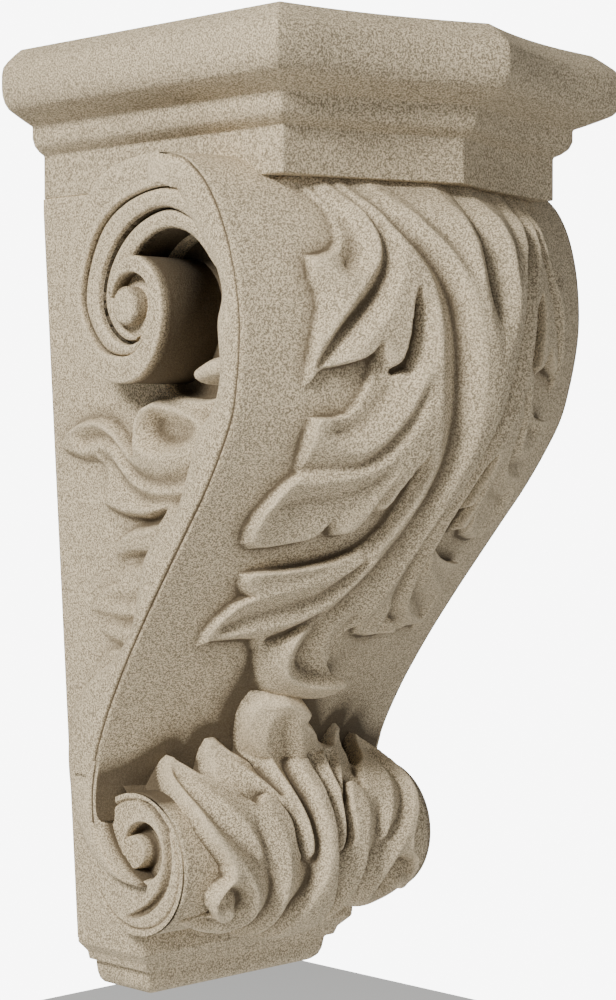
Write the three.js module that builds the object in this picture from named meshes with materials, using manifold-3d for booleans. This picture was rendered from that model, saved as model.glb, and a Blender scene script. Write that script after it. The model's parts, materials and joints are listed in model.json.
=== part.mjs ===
// A carved stone corbel, one solid: a moulded cap over an S-shaped bracket with a
// volute on each side, an acanthus leaf down the front, a second leaf over the
// lower roll, and a small stepped foot. Millimetres, +Z up, the wall is the plane
// y = 0, the front looks along -Y, and z = 0 is half-way up the back.
import * as THREE from 'three';
import { mergeVertices } from 'three/addons/utils/BufferGeometryUtils.js';
import Module from 'manifold-3d';

const wasm = await Module();
wasm.setup();

// driving dimensions
const HEIGHT = 356;
const TOP = HEIGHT / 2;
const BOTTOM = -HEIGHT / 2;

// the cap: its plan at the frieze, and how far each moulding stands out from it
const FRIEZE_HALF_WIDTH = 71;
const FRIEZE_CORNER_DEPTH = 130;
const FRIEZE_APEX_DEPTH = 148.2;
const FRIEZE_BOTTOM = 123.1;
const FRONT_BOW = { x: -35.4, y: -133.2 };
const FRONT_STEPS = 4;
const CAP_PROFILE = [
  [0, FRIEZE_BOTTOM], [0, 139.2], [2.4, 140.6], [4.4, 142.4], [5.5, 145.3], [5.5, 149.7],
  [9.1, 151.3], [12.8, 153.1], [16.5, 155], [18.4, 157.3], [19.7, 161.3], [19.7, 168],
  [19, 170.4], [16.9, 172.7], [14.1, 175.2], [10.5, TOP],
];

// the tapering block against the wall, and the S-shaped bracket that stands proud of it
const BLOCK_HALF_WIDTH = 71;
const BLOCK_TAPER = 0.056;
const BLOCK_TAPER_FROM = 118;
const SCROLL_HALF_WIDTH = 88.5;
const SCROLL_TAPER = 0.08;
const SCROLL_TAPER_FROM = 76;
const RIDGE_SOFTNESS = 0.07;

// front edge of the S-shaped bracket seen from the side, as depth and height
const FRONT_EDGE = [
  [-103, 129.5], [-110, 125.5], [-115.6, 119.9], [-120.8, 111.2], [-124.9, 99.7], [-127.3, 87.9],
  [-128.3, 75.7], [-127.7, 66.2], [-125.5, 53.5], [-121.9, 40.7], [-114.6, 27.6], [-105, 13.5],
  [-95.3, 1.3], [-84.2, -12.7], [-73, -27], [-60.3, -44.1], [-50.8, -58.2], [-44.7, -68.2],
  [-36.4, -84.9], [-33.1, -96.4], [-32.2, -108], [-34.6, -113], [-39, -120], [-46, -126],
  [-53, -129.8],
];
// the edge of the same bracket on the wall side, from the tip of its tail up to the volute
const INNER_EDGE = [
  [-46, -129.6], [-37, -127.8], [-27, -122.3], [-20, -112.4], [-17, -100], [-16, -88],
  [-17.4, -77], [-21, -68], [-27, -60], [-33, -54], [-48, -45], [-57, -35], [-62, -22], [-67, -9],
  [-75, 0], [-85, 7.5], [-94, 24], [-100, 36], [-108, 44], [-112.5, 55], [-113, 73], [-116, 82],
  [-114, 91], [-110, 98], [-103, 108], [-97, 118],
];
// how far the middle of the front stands before its edges, by height
const FRONT_POINT = [
  [130, 26], [121, 27], [102, 33], [25, 33], [-30, 28], [-50, 24], [-75, 20], [-120, 16],
];

// the volute: outer and inner edge of its flat band, from the top round to the eye
const VOLUTE_BAND = [
  [[-104, 129], [-104, 117.5]], [[-92, 131.5], [-91.7, 120]], [[-76, 130.6], [-78, 118.6]],
  [[-62, 127], [-66, 114.8]], [[-49.5, 117.5], [-56, 108]], [[-40, 103], [-49, 98]],
  [[-36.7, 83], [-44, 83]], [[-40, 68], [-46.7, 73]], [[-49, 57], [-53, 65]],
  [[-60, 53], [-61, 62.5]], [[-72, 54.5], [-69.5, 63]], [[-82, 63], [-76.5, 68]],
  [[-87.8, 78], [-82, 79]], [[-85, 90], [-79.5, 88]], [[-76, 97], [-73, 91.5]],
  [[-67, 95.5], [-66.5, 90.5]],
];
// the two rounded beads inside the band, as outer and inner edge
const OUTER_BEAD = [
  [[-123, 95], [-117, 92]], [[-118, 107], [-111, 101]], [[-109, 114], [-105, 107]],
  [[-91.7, 119.6], [-90, 113]], [[-73, 117], [-73, 109.4]], [[-58.6, 109.5], [-62, 101.6]],
  [[-49.6, 97.6], [-54.4, 90.6]], [[-44.6, 83], [-52.5, 80]], [[-47.2, 73.4], [-56, 72]],
  [[-53.4, 65.6], [-62, 67.6]],
];
const INNER_BEAD = [
  [[-118, 92], [-114, 84]], [[-111, 102], [-107, 97]], [[-103, 108.5], [-99, 103.5]],
  [[-90, 112.6], [-88, 106]], [[-73.4, 108.6], [-77, 103]], [[-62.2, 100.8], [-67, 95]],
  [[-54.6, 90], [-60.6, 87]], [[-53, 80], [-59.4, 80]], [[-57, 72.2], [-62, 73]],
  [[-63, 68], [-67, 70]],
];
const BEAD_DROP = [1.2, 4];
const BEAD_ROUND = 1.4;
const EYE_CENTRE = [-67, 80];
const EYE_RADIUS = 7;
const EYE_WELL = { y: -70.5, z: 80.5, radius: 12.4, drop: 6 };

// the lower roll and its end discs
const ROLL_CENTRE = { y: -46, z: -122.8 };
const ROLL_RADIUS = 26.3;
const ROLL_HALF_WIDTH = 65.5;
const ROLL_RIM = 24;
const ROLL_GROOVE = 3;
const ROLL_GROOVE_WIDTH = 0.2;
const LOWER_EYE = { y: -44, z: -118.6, radius: 6.2, drop: 0.6 };
const LOWER_RING = { y: -50, z: -117.5, recess: 20.5, outer: 16.6, inner: 10.4 };
const RECESS_DEPTH = 4.5;
const WELL_DEPTH = 7;

// the foot: half-width, depth and height of each level
const FOOT_LEVELS = [
  [55.4, 38.5, -148], [55.6, 38.5, -159.6], [51, 35, -163.8], [50.1, 33.7, -167],
  [46.8, 31.6, -167.6], [46.2, 31.2, -172], [44.8, 29.8, -175.4], [42.2, 27.2, -177.4],
  [39.6, 24.6, BOTTOM],
];

// small tools
const smooth = (rows, steps) => {
  const line = new THREE.CatmullRomCurve3(
    rows.map((r) => new THREE.Vector3(r[0], r[1], r[2] ?? 0)), false, 'centripetal');
  return line.getPoints(steps).map((p) => [p.x, p.y, p.z]);
};

const lookup = (rows) => (z) => {
  for (let i = 1; i < rows.length; i += 1) {
    const [z0, v0] = rows[i - 1];
    const [z1, v1] = rows[i];
    if (z >= z1 || i === rows.length - 1) {
      return v0 + (v1 - v0) * Math.min(1, Math.max(0, (z - z0) / (z1 - z0)));
    }
  }
  return rows[0][1];
};

const frontDepth = lookup(smooth(FRONT_EDGE, 80).map(([y, z]) => [z, y]));
const frontPoint = lookup(FRONT_POINT);
const blockHalf = (z) => BLOCK_HALF_WIDTH + BLOCK_TAPER * (z - BLOCK_TAPER_FROM);
const scrollHalf = (z) => SCROLL_HALF_WIDTH + SCROLL_TAPER * (z - SCROLL_TAPER_FROM);

// depth of the plain front surface under the leaves
const frontSurface = (x, z) => {
  const across = Math.sqrt((x / scrollHalf(z)) ** 2 + RIDGE_SOFTNESS ** 2);
  return frontDepth(z) - frontPoint(z) * (1 - Math.min(1, across));
};

const volumeOf = (points, triangles) => {
  let sum = 0;
  for (const [a, b, c] of triangles) {
    sum += points[a].dot(new THREE.Vector3().crossVectors(points[b], points[c]));
  }
  return sum / 6;
};

// the points of a ring laid flat in the plane that fits it best
const laidFlat = (ring) => {
  const normal = new THREE.Vector3();
  ring.forEach((p, i) => normal.add(new THREE.Vector3().crossVectors(p, ring[(i + 1) % ring.length])));
  normal.normalize();
  const across = new THREE.Vector3(1, 0, 0);
  if (Math.abs(normal.x) > 0.7) {
    across.set(0, 1, 0);
  }
  const up = new THREE.Vector3().crossVectors(normal, across).normalize();
  across.crossVectors(up, normal);
  return ring.map((p) => new THREE.Vector2(p.dot(across), p.dot(up)));
};

// a closed solid through rings that all have the same number of points
const loft = (rings) => {
  const count = rings[0].length;
  const points = rings.flat();
  const triangles = [];
  for (let r = 0; r + 1 < rings.length; r += 1) {
    for (let i = 0; i < count; i += 1) {
      const j = (i + 1) % count;
      const [a, b] = [r * count + i, r * count + j];
      triangles.push([a, b, b + count], [a, b + count, a + count]);
    }
  }
  const last = (rings.length - 1) * count;
  for (const [a, b, c] of THREE.ShapeUtils.triangulateShape(laidFlat(rings[0]), [])) {
    triangles.push([a, c, b]);
  }
  for (const [a, b, c] of THREE.ShapeUtils.triangulateShape(laidFlat(rings[rings.length - 1]), [])) {
    triangles.push([last + a, last + b, last + c]);
  }
  const outward = volumeOf(points, triangles) > 0;
  const geometry = new THREE.BufferGeometry().setFromPoints(points);
  geometry.setIndex(triangles.flatMap(([a, b, c]) => (outward ? [a, b, c] : [a, c, b])));
  return geometry;
};

const toManifold = (geometry) => {
  geometry.deleteAttribute('normal');
  geometry.deleteAttribute('uv');
  const merged = mergeVertices(geometry, 1e-4);
  return new wasm.Manifold(new wasm.Mesh({
    numProp: 3,
    vertProperties: new Float32Array(merged.attributes.position.array),
    triVerts: new Uint32Array(merged.index.array),
  }));
};

const joinAll = (geometries) => geometries.map(toManifold).reduce((a, b) => a.add(b));

const V = (x, y, z) => new THREE.Vector3(x, y, z);

// the cap
const capRing = (out, z) => {
  const bow = new THREE.QuadraticBezierCurve(
    new THREE.Vector2(-FRIEZE_HALF_WIDTH, -FRIEZE_CORNER_DEPTH),
    new THREE.Vector2(FRONT_BOW.x, FRONT_BOW.y),
    new THREE.Vector2(0, -FRIEZE_APEX_DEPTH));
  const left = [];
  for (let i = 0; i <= FRONT_STEPS; i += 1) {
    const at = bow.getPoint(i / FRONT_STEPS);
    const along = bow.getTangent(i / FRONT_STEPS);
    const normal = new THREE.Vector2(along.y, -along.x);
    if (i === 0) {
      const mitre = (1 + normal.x) / -normal.y;
      left.push([at.x - out, at.y - out * mitre]);
    } else if (i === FRONT_STEPS) {
      left.push([0, at.y + out / normal.y]);
    } else {
      left.push([at.x + out * normal.x, at.y + out * normal.y]);
    }
  }
  const right = left.slice(0, -1).reverse().map(([x, y]) => [-x, y]);
  const edge = FRIEZE_HALF_WIDTH + out;
  return [[-edge, 0], ...left, ...right, [edge, 0]].map(([x, y]) => V(x, y, z));
};
const cap = loft(CAP_PROFILE.map(([out, z]) => capRing(out, z)));

// the block against the wall
const CORE_INSET = 7;
const coreOutline = [[0, 130], [0, -158], [-38.4, -158], [-36, -130], [-30, -100]];
for (let z = -84; z <= 112; z += 14) {
  coreOutline.push([frontDepth(z) + CORE_INSET, z]);
}
coreOutline.push([-100, 124], [-92, 130]);
const block = loft([-1, 1].map((side) => coreOutline.map(
  ([y, z]) => V(side * blockHalf(z), y, z))));

// the S-shaped bracket
const FRONT_SPANS = 24;
const bracketOutline = [...smooth(FRONT_EDGE, FRONT_SPANS), ...smooth(INNER_EDGE, 21)];
const bracketRing = (across) => bracketOutline.map(([y, z], i) => {
  const x = across * scrollHalf(z);
  const out = i <= FRONT_SPANS ? frontPoint(z) * (1 - Math.sqrt(across ** 2 + RIDGE_SOFTNESS ** 2)) : 0;
  return V(x, y - Math.max(0, out), z);
});
const bracket = loft([-1, -0.55, -0.14, 0, 0.14, 0.55, 1].map(bracketRing));

// the volutes
const stripOn = (side, pairs, steps, drop, round) => {
  const outer = smooth(pairs.map((p) => p[0]), steps);
  const inner = smooth(pairs.map((p) => p[1]), steps);
  return loft(outer.map(([y0, z0], i) => {
    const [y1, z1] = inner[i];
    const sunk = (z) => side * (blockHalf(z) - 3);
    const face = (z, below) => side * (scrollHalf(z) - drop - below);
    const ring = [V(sunk(z0), y0, z0), V(face(z0, round), y0, z0)];
    if (round > 0) {
      for (const t of [0.25, 0.75]) {
        const [y, z] = [y0 + (y1 - y0) * t, z0 + (z1 - z0) * t];
        ring.push(V(face(z, 0), y, z));
      }
    }
    ring.push(V(face(z1, round), y1, z1), V(sunk(z1), y1, z1));
    return ring;
  }));
};

const discOn = (side, y, z, radius, from, to, sides) => loft([from, to].map((x) => {
  const ring = [];
  for (let i = 0; i < sides; i += 1) {
    const turn = (2 * Math.PI * i) / sides;
    ring.push(V(side * x, y + radius * Math.cos(turn), z + radius * Math.sin(turn)));
  }
  return ring;
}));

const voluteOn = (side) => {
  const face = scrollHalf(EYE_CENTRE[1]);
  const floor = blockHalf(EYE_CENTRE[1]) - 3;
  return [
    stripOn(side, VOLUTE_BAND, 28, 0, 0),
    stripOn(side, OUTER_BEAD, 11, BEAD_DROP[0], BEAD_ROUND),
    stripOn(side, INNER_BEAD, 10, BEAD_DROP[1], BEAD_ROUND),
    discOn(side, EYE_WELL.y, EYE_WELL.z, EYE_WELL.radius, floor, face - EYE_WELL.drop, 18),
    discOn(side, EYE_CENTRE[0], EYE_CENTRE[1], EYE_RADIUS, floor, face - 0.6, 16),
  ];
};

// leaves: raised strokes that follow a surface
const SUNK = 3;
const STROKE_SECTION = [[-1, 0.1], [-0.62, 0.86], [0.2, 1], [1, 0.1]];

// rows are along-1, along-2, half-width, height; place(u, v, h) gives the point
const stroke = (rows, steps, place) => {
  const at = smooth(rows.map(([u, v]) => [u, v]), steps);
  const size = smooth(rows.map(([, , w, h]) => [w, h]), steps);
  const rings = at.map(([u, v], i) => {
    const [pu, pv] = at[Math.max(0, i - 1)];
    const [nu, nv] = at[Math.min(steps, i + 1)];
    const length = Math.hypot(nu - pu, nv - pv) || 1;
    const across = [(nv - pv) / length, -(nu - pu) / length];
    const [w, h] = size[i];
    const row = STROKE_SECTION.map(
      ([s, t]) => place(u + across[0] * w * s, v + across[1] * w * s, h * t));
    const first = place(u - across[0] * w, v - across[1] * w, -SUNK);
    const last = place(u + across[0] * w, v + across[1] * w, -SUNK);
    return [first, ...row, last];
  });
  return loft(rings);
};

const onFront = (side) => (x, z, h) => V(side * x, frontSurface(x, z) - h, z);
const onBlock = (side) => (y, z, h) => V(side * (blockHalf(z) + h), y, z);

// the ground under the lower leaf: up to 50 the run is the angle round the roll, and
// from there it climbs until at 80 it lies on the front of the bracket
const CLIMB_FROM = 50;
const CLIMB_TO = 80;
const CLIMB_RISE = 0.6;
const CLIMB_BACK = 0.42;
const ease = (t) => t * t * (3 - 2 * t);
const lowerGround = (x, run) => {
  const turn = THREE.MathUtils.degToRad(Math.min(run, CLIMB_FROM));
  const over = Math.max(0, run - CLIMB_FROM);
  const z = ROLL_CENTRE.z + ROLL_RADIUS * Math.sin(turn) + over * CLIMB_RISE;
  const round = ROLL_CENTRE.y - ROLL_RADIUS * Math.cos(turn) + over * CLIMB_BACK;
  const mix = ease(Math.min(1, over / (CLIMB_TO - CLIMB_FROM)));
  return [round * (1 - mix) + frontSurface(x, z) * mix, z];
};
const onLower = (side) => (x, run, h) => {
  const [y0, z0] = lowerGround(x, run - 10);
  const [y1, z1] = lowerGround(x, run + 10);
  const [y, z] = lowerGround(x, run);
  const length = Math.hypot(y1 - y0, z1 - z0);
  return V(side * x, y - ((z1 - z0) / length) * h, z + ((y1 - y0) / length) * h);
};

// the main leaf, one half: distance from the middle, height, half-width, raised by;
// the first stroke is the body of the leaf, which the ribs and lobes stand on
const MAIN_LEAF = [
  [[26, 123, 31, 5.4], [26, 96, 31, 5.4], [24, 64, 22, 5.4], [20, 36, 22, 5.4], [15, 4, 16, 5], [8, -34, 14, 5]],
  [[6, 127, 6, 9], [8, 95, 7, 10.5], [3, 60, 6.5, 10], [2, 20, 5, 10], [2, -10, 5, 9.8], [2, -34, 6, 8.6]],
  [[32, 122, 6.5, 9], [24, 104, 6.5, 10], [16, 88, 6, 10.5], [9, 64, 5, 10.3], [5, 40, 3.5, 10]],
  [[45, 122, 6, 8.5], [36, 102, 7, 9.5], [27, 82, 6, 9.6], [22.5, 54, 6, 9.5], [15, 28, 5, 9.4],
    [13, 3, 4.6, 9], [19, -13, 5, 9], [35, -20.5, 4.5, 8.7], [56, -39, 1.2, 4.4]],
  [[54, 123, 7, 8], [48, 109, 6.5, 9], [47.5, 96, 6, 9], [55, 90.5, 5.5, 8], [66, 94.6, 1.2, 5]],
  [[39, 97, 4.5, 9.5], [44, 83, 6.5, 9.3], [51, 72, 8.5, 8.6], [59, 63, 6, 6.8], [64.4, 51.5, 1.2, 3.4]],
  [[28, 58, 4.5, 9.5], [33, 42, 7, 9.2], [42, 33, 8, 8.6], [52, 33.5, 6.5, 8], [60, 37, 2.4, 5.5]],
  [[25, 46, 4.5, 9.6], [29, 28, 6, 9.4], [40, 14, 9, 9], [53, 8.5, 9, 8], [61, 5, 6, 6.6]],
  [[23, 30, 4, 9.6], [27, 12, 4.5, 9.2], [38, 4, 5, 8.6], [50, 0, 5, 7.6], [59, -3, 2, 5.6]],
  [[19, 27, 3, 9.6], [22.2, 9, 1.6, 8.4]],
  [[15, -5, 3.5, 9], [26, -12, 4, 8.2], [40, -16.5, 4.5, 7.8], [55, -17, 1.4, 4.8]],
  [[14, -12, 4, 9.2], [21, -27, 5, 9.2], [35, -34.5, 5, 8.2], [55, -40, 1.3, 4.4]],
];
const CURLED_TIP = [
  [-23.5, -35, 5, 7], [-27, -45, 6, 12], [-17, -57, 7, 14.3], [-4, -60.5, 6.5, 14.6],
  [7, -60, 5.5, 13.6],
];
const TIP_HOLLOW = [[-4, -32, 12, 7.6], [-10, -46, 11, 6], [-8, -55, 9, 8]];

// the side leaf on the block: depth, height, half-width, raised by
const SIDE_LEAF = [
  [[-106, 46, 7, 10], [-92, 36, 8, 10], [-78, 36, 8, 9], [-64, 44, 4, 7]],
  [[-98, 34, 6, 9], [-80, 24, 7, 9], [-62, 22, 6, 8], [-48, 34, 5, 7], [-33, 40, 5, 6], [-14, 36, 5, 5], [-2, 30, 1.5, 2.5]],
  [[-88, 20, 6, 8], [-70, 12, 6, 8], [-54, 16, 5, 7], [-42, 28, 4, 6], [-24, 30, 4, 4], [-8, 27, 1.5, 2]],
  [[-80, 8, 6, 8], [-62, 4, 5, 7], [-46, 4, 4, 6], [-34, 10, 1.5, 3]],
  [[-70, -4, 5, 8], [-54, -12, 5, 7], [-40, -12, 4, 5], [-26, -6, 1.5, 2]],
  [[-64, -18, 5, 8], [-48, -24, 5, 7], [-32, -22, 4, 5], [-14, -27, 1.5, 2]],
  [[-56, -34, 6, 8], [-40, -40, 6, 7], [-26, -38, 4, 5], [-14, -34, 1.5, 2]],
  [[-42, -48, 6, 8], [-28, -58, 6, 7], [-14, -68, 5, 5], [-6, -80, 4, 4], [-5, -96, 3, 3]],
];

// the lower leaf, one half: distance from the middle, run, half-width, raised by
const LOWER_LEAF = [
  [[10, -80, 15, 4.4], [20, -30, 22, 4.4], [26, 20, 28, 4.6], [24, 54, 26, 4.8]],
  [[13, -80, 6.5, 9], [23, -48, 6, 9], [36, -6, 7, 9], [47, 25, 6.5, 8.6], [49.5, 50, 7, 7], [48.4, 80, 1.4, 2.6]],
  [[10, -60, 7, 8], [18, -24, 7, 9.4], [22.5, 8, 7, 9.8], [26, 30, 6, 9.6], [22.6, 44, 1.4, 8.8]],
  [[24, 28, 8, 5], [25, 52, 9, 8.4], [29, 70, 7, 7], [34, 88, 1.4, 2.6]],
  [[44, -2, 4, 8.8], [49, -14, 4, 8.8], [47.5, -28, 4, 8.4]],
  [[31, -22, 3, 8.6], [31.5, -40, 3, 8], [42, -52, 3, 5.8], [58, -47, 1.5, 2]],
  [[7.4, -2, 1.6, 9], [9.6, 20, 2.6, 10.8], [12.6, 48, 3.4, 11.6], [14.5, 74, 5, 12]],
];
const LOWER_MIDDLE = [[0, -78, 9, 10.4], [0, -36, 8, 11.4], [0, 0, 3.8, 12.4], [0, 40, 4, 13], [-1, 78, 6, 13], [-8, 108, 8, 12]];
const LOWER_TIP = [[-12, 66, 8, 11], [-16, 86, 7, 12], [-19.6, 106, 7, 11], [-16, 120, 6, 11], [-7, 117, 4, 12]];
const TIP_SLOPE = [[6, 78, 11, 11], [4, 92, 8, 9.4], [-2, 104, 6, 10]];

const leafStrokes = (side) => [
  ...MAIN_LEAF.map((rows) => stroke(rows, rows.length, onFront(side))),
  ...SIDE_LEAF.map((rows) => stroke(rows, rows.length, onBlock(side))),
  ...LOWER_LEAF.map((rows) => stroke(rows, rows.length, onLower(side))),
];

// the roll and the foot
const ROLL_SIDES = 26;
const rollSection = (x, radius) => {
  const ring = [];
  for (let i = 0; i < ROLL_SIDES; i += 1) {
    const turn = (2 * Math.PI * i) / ROLL_SIDES;
    ring.push(V(x, ROLL_CENTRE.y + radius * Math.cos(turn), ROLL_CENTRE.z + radius * Math.sin(turn)));
  }
  return ring;
};
const rimFrom = ROLL_HALF_WIDTH - ROLL_GROOVE;
const rollFrom = rimFrom - ROLL_GROOVE_WIDTH;
const roll = loft([
  [-ROLL_HALF_WIDTH, ROLL_RIM], [-rimFrom, ROLL_RIM], [-rollFrom, ROLL_RADIUS],
  [rollFrom, ROLL_RADIUS], [rimFrom, ROLL_RIM], [ROLL_HALF_WIDTH, ROLL_RIM],
].map(([x, radius]) => rollSection(x, radius)));

const foot = loft(FOOT_LEVELS.map(([half, depth, z]) => [
  V(-half, 0, z), V(-half, -depth, z), V(half, -depth, z), V(half, 0, z)]));

// the coil on each end of the roll: cut back and filled again, from the outside in
const BEYOND = 6;
const coilSteps = (side) => {
  const face = ROLL_HALF_WIDTH;
  const ring = (radius, from, to) => toManifold(
    discOn(side, LOWER_RING.y, LOWER_RING.z, radius, from, to, 16));
  const recess = ring(LOWER_RING.recess, face - RECESS_DEPTH, face + BEYOND);
  const coil = ring(LOWER_RING.outer, face - RECESS_DEPTH - 1, face);
  const well = ring(LOWER_RING.inner, face - WELL_DEPTH, face + BEYOND);
  const eye = toManifold(discOn(
    side, LOWER_EYE.y, LOWER_EYE.z, LOWER_EYE.radius, face - WELL_DEPTH - 1, face - LOWER_EYE.drop, 14));
  return { recess, coil, well, eye };
};
const coiledRoll = [-1, 1].map(coilSteps).reduce(
  (body, { recess, coil, well, eye }) => body.subtract(recess).add(coil).subtract(well).add(eye),
  toManifold(roll));

// joined into one stone
const parts = [cap, block, bracket, foot];
for (const side of [-1, 1]) {
  parts.push(...voluteOn(side), ...leafStrokes(side));
}
parts.push(stroke(CURLED_TIP, 9, onFront(1)), stroke(TIP_HOLLOW, 4, onFront(1)));
parts.push(stroke(LOWER_MIDDLE, 10, onLower(1)), stroke(LOWER_TIP, 8, onLower(1)));
parts.push(stroke(TIP_SLOPE, 4, onLower(1)));
const stone = joinAll(parts).add(coiledRoll);

const joined = stone.getMesh();
const geometry = new THREE.BufferGeometry();
geometry.setAttribute('position', new THREE.BufferAttribute(joined.vertProperties, 3));
geometry.setIndex(new THREE.BufferAttribute(joined.triVerts, 1));

const sandstone = new THREE.MeshStandardMaterial({ color: 0xa89c85, roughness: 0.92, metalness: 0 });
const corbel = new THREE.Mesh(geometry, sandstone);
corbel.name = 'corbel';
const group = new THREE.Group();
group.add(corbel);
export default group;
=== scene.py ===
# %% [markdown]
# A carved sandstone corbel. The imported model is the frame: it fixes the size, the place
# of the wall and the box that the carving has to stay in. Here the same forms are made
# again at the mason's own fineness, as several fine meshes that meet inside the stone.
# Everything is worked out in millimetres, as on a drawing, and turned to metres once.

# %% load the frame
import json
import math

import bmesh
import bpy
import numpy as np
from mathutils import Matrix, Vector

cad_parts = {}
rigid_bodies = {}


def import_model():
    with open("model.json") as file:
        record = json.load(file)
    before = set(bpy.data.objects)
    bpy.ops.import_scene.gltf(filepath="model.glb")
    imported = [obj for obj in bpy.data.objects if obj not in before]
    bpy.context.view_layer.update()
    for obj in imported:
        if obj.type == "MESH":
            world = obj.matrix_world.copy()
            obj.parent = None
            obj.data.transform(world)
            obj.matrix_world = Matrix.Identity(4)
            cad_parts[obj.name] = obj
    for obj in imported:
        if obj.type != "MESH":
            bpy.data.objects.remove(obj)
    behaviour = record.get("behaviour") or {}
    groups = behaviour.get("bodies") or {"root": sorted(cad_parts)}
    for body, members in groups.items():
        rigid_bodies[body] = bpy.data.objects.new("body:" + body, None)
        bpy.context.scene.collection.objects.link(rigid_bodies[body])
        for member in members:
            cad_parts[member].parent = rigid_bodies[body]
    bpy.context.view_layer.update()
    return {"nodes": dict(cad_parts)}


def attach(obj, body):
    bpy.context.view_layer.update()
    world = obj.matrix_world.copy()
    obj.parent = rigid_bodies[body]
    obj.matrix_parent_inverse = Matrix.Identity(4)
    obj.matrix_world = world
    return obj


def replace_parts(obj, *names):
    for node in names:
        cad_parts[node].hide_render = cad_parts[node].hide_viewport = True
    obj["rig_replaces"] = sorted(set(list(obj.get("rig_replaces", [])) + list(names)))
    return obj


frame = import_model()
MM = 0.001

# %% [markdown]
# The outline curves of the bracket are few points with a smooth line through them. The
# line passes through every point, so the points are places that can be measured on the
# stone, and nothing has to be guessed about handles.

# %% smooth lines and look-ups
def smooth(rows, steps):
    """A smooth line through rows of numbers, spaced by the first two numbers' distance."""
    rows = np.array(rows, dtype=float)
    ends = np.vstack([2 * rows[0] - rows[1], rows, 2 * rows[-1] - rows[-2]])
    gaps = np.sqrt(np.hypot(*(np.diff(ends[:, :2], axis=0).T))) + 1e-6
    knots = np.concatenate([[0], np.cumsum(gaps)])
    wanted = np.linspace(0, len(rows) - 1, steps + 1)
    out = []
    for value in wanted:
        i = min(int(value), len(rows) - 2)
        p0, p1, p2, p3 = ends[i:i + 4]
        t0, t1, t2, t3 = knots[i:i + 4]
        t = t1 + (t2 - t1) * (value - i)
        a1 = p0 + (p1 - p0) * (t - t0) / (t1 - t0)
        a2 = p1 + (p2 - p1) * (t - t1) / (t2 - t1)
        a3 = p2 + (p3 - p2) * (t - t2) / (t3 - t2)
        b1 = a1 + (a2 - a1) * (t - t0) / (t2 - t0)
        b2 = a2 + (a3 - a2) * (t - t1) / (t3 - t1)
        out.append(b1 + (b2 - b1) * (t - t1) / (t2 - t1))
    return np.array(out)


def ease(value):
    """0 below 0, 1 above 1, and a soft step between."""
    value = np.clip(value, 0, 1)
    return value * value * (3 - 2 * value)


# %% [markdown]
# The block against the wall tapers downwards, and the S-shaped bracket stands proud of it
# on both sides. The front of the bracket is not flat across: it comes to a soft point in
# the middle, like the bow of a boat, and that point grows less towards the bottom.

# %% the main measures
TOP, BOTTOM = 178.0, -178.0
FRIEZE_BOTTOM = 123.1
FRONT_EDGE = [
    (-92, 131.6), (-103, 129.5), (-110, 125.5), (-115.6, 119.9), (-120.8, 111.2), (-124.9, 99.7),
    (-127.3, 87.9), (-128.3, 75.7), (-127.7, 66.2), (-125.5, 53.5), (-121.9, 40.7), (-114.6, 27.6),
    (-105, 13.5), (-95.3, 1.3), (-84.2, -12.7), (-73, -27), (-60.3, -44.1), (-50.8, -58.2),
    (-44.7, -68.2), (-36.4, -84.9), (-33.1, -96.4), (-32.2, -108),
]
INNER_EDGE = [
    (-27, -112), (-24, -88), (-27, -65), (-33, -55), (-48, -45), (-57, -35), (-62, -22), (-67, -9),
    (-75, 0), (-85, 7.5), (-94, 24), (-100, 36), (-108, 44), (-112.5, 55), (-113, 73), (-116, 82),
    (-114, 91), (-110, 98), (-103, 108), (-97, 118),
]
FRONT_POINT = [
    (-120, 16), (-75, 20), (-50, 24), (-30, 28), (25, 33), (102, 33), (121, 27), (130, 26),
]
front_line = smooth(FRONT_EDGE, 400)


def front_depth(z):
    return np.interp(z, front_line[::-1, 1], front_line[::-1, 0])


def front_point(z):
    return np.interp(z, [p[0] for p in FRONT_POINT], [p[1] for p in FRONT_POINT])


def block_half(z):
    return np.minimum(71 + 0.056 * (z - 118), 71)


def scroll_half(z):
    return 88.5 + 0.08 * (z - 76)


print("bracket is", round(2 * float(scroll_half(118)), 1), "mm wide at the top")

# %% [markdown]
# A small furrow or swelling is a stroke: a smooth path with a width and a height that
# change along it, as a carver would pencil it on the block. It is worked out over a fine
# grid of places: each takes its distance to the path and looks up the rounded section
# there. A swept body would do too, but a stroke flows into the ground that it lies on.

# %% strokes on a grid
ROUND = [
    (-1, 0), (-0.93, 0.45), (-0.8, 0.72), (-0.45, 0.94), (0, 1), (0.45, 0.94), (0.8, 0.72),
    (0.93, 0.45), (1, 0),
]
NOT_THERE = -9.0


def stroke_height(u, v, rows, steps=28):
    """Heights of one rounded stroke over the places u, v; NOT_THERE beside the stroke."""
    path = smooth(rows, steps)
    height = np.full(u.shape, NOT_THERE)
    reach = path[:, 2].max() + 1
    near = (u > path[:, 0].min() - reach) & (u < path[:, 0].max() + reach)
    near &= (v > path[:, 1].min() - reach) & (v < path[:, 1].max() + reach)
    pu, pv = u[near], v[near]
    best = np.full(pu.shape, NOT_THERE)
    offsets, levels = np.array(ROUND).T
    for (u0, v0, w0, h0), (u1, v1, w1, h1) in zip(path[:-1, :4], path[1:, :4]):
        du, dv = u1 - u0, v1 - v0
        length = math.hypot(du, dv) + 1e-9
        along = ((pu - u0) * du + (pv - v0) * dv) / length ** 2
        t = np.clip(along, 0, 1)
        side = ((pu - u0) * dv - (pv - v0) * du) / length
        away = np.hypot(pu - u0 - t * du, pv - v0 - t * dv) * np.where(side < 0, -1, 1)
        width = np.maximum(w0 + (w1 - w0) * t, 0.3)
        level = np.interp(away / width, offsets, levels, left=-1, right=-1)
        best = np.maximum(best, np.where(level < 0, NOT_THERE, level * (h0 + (h1 - h0) * t)))
    height[near] = best
    return height


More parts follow.
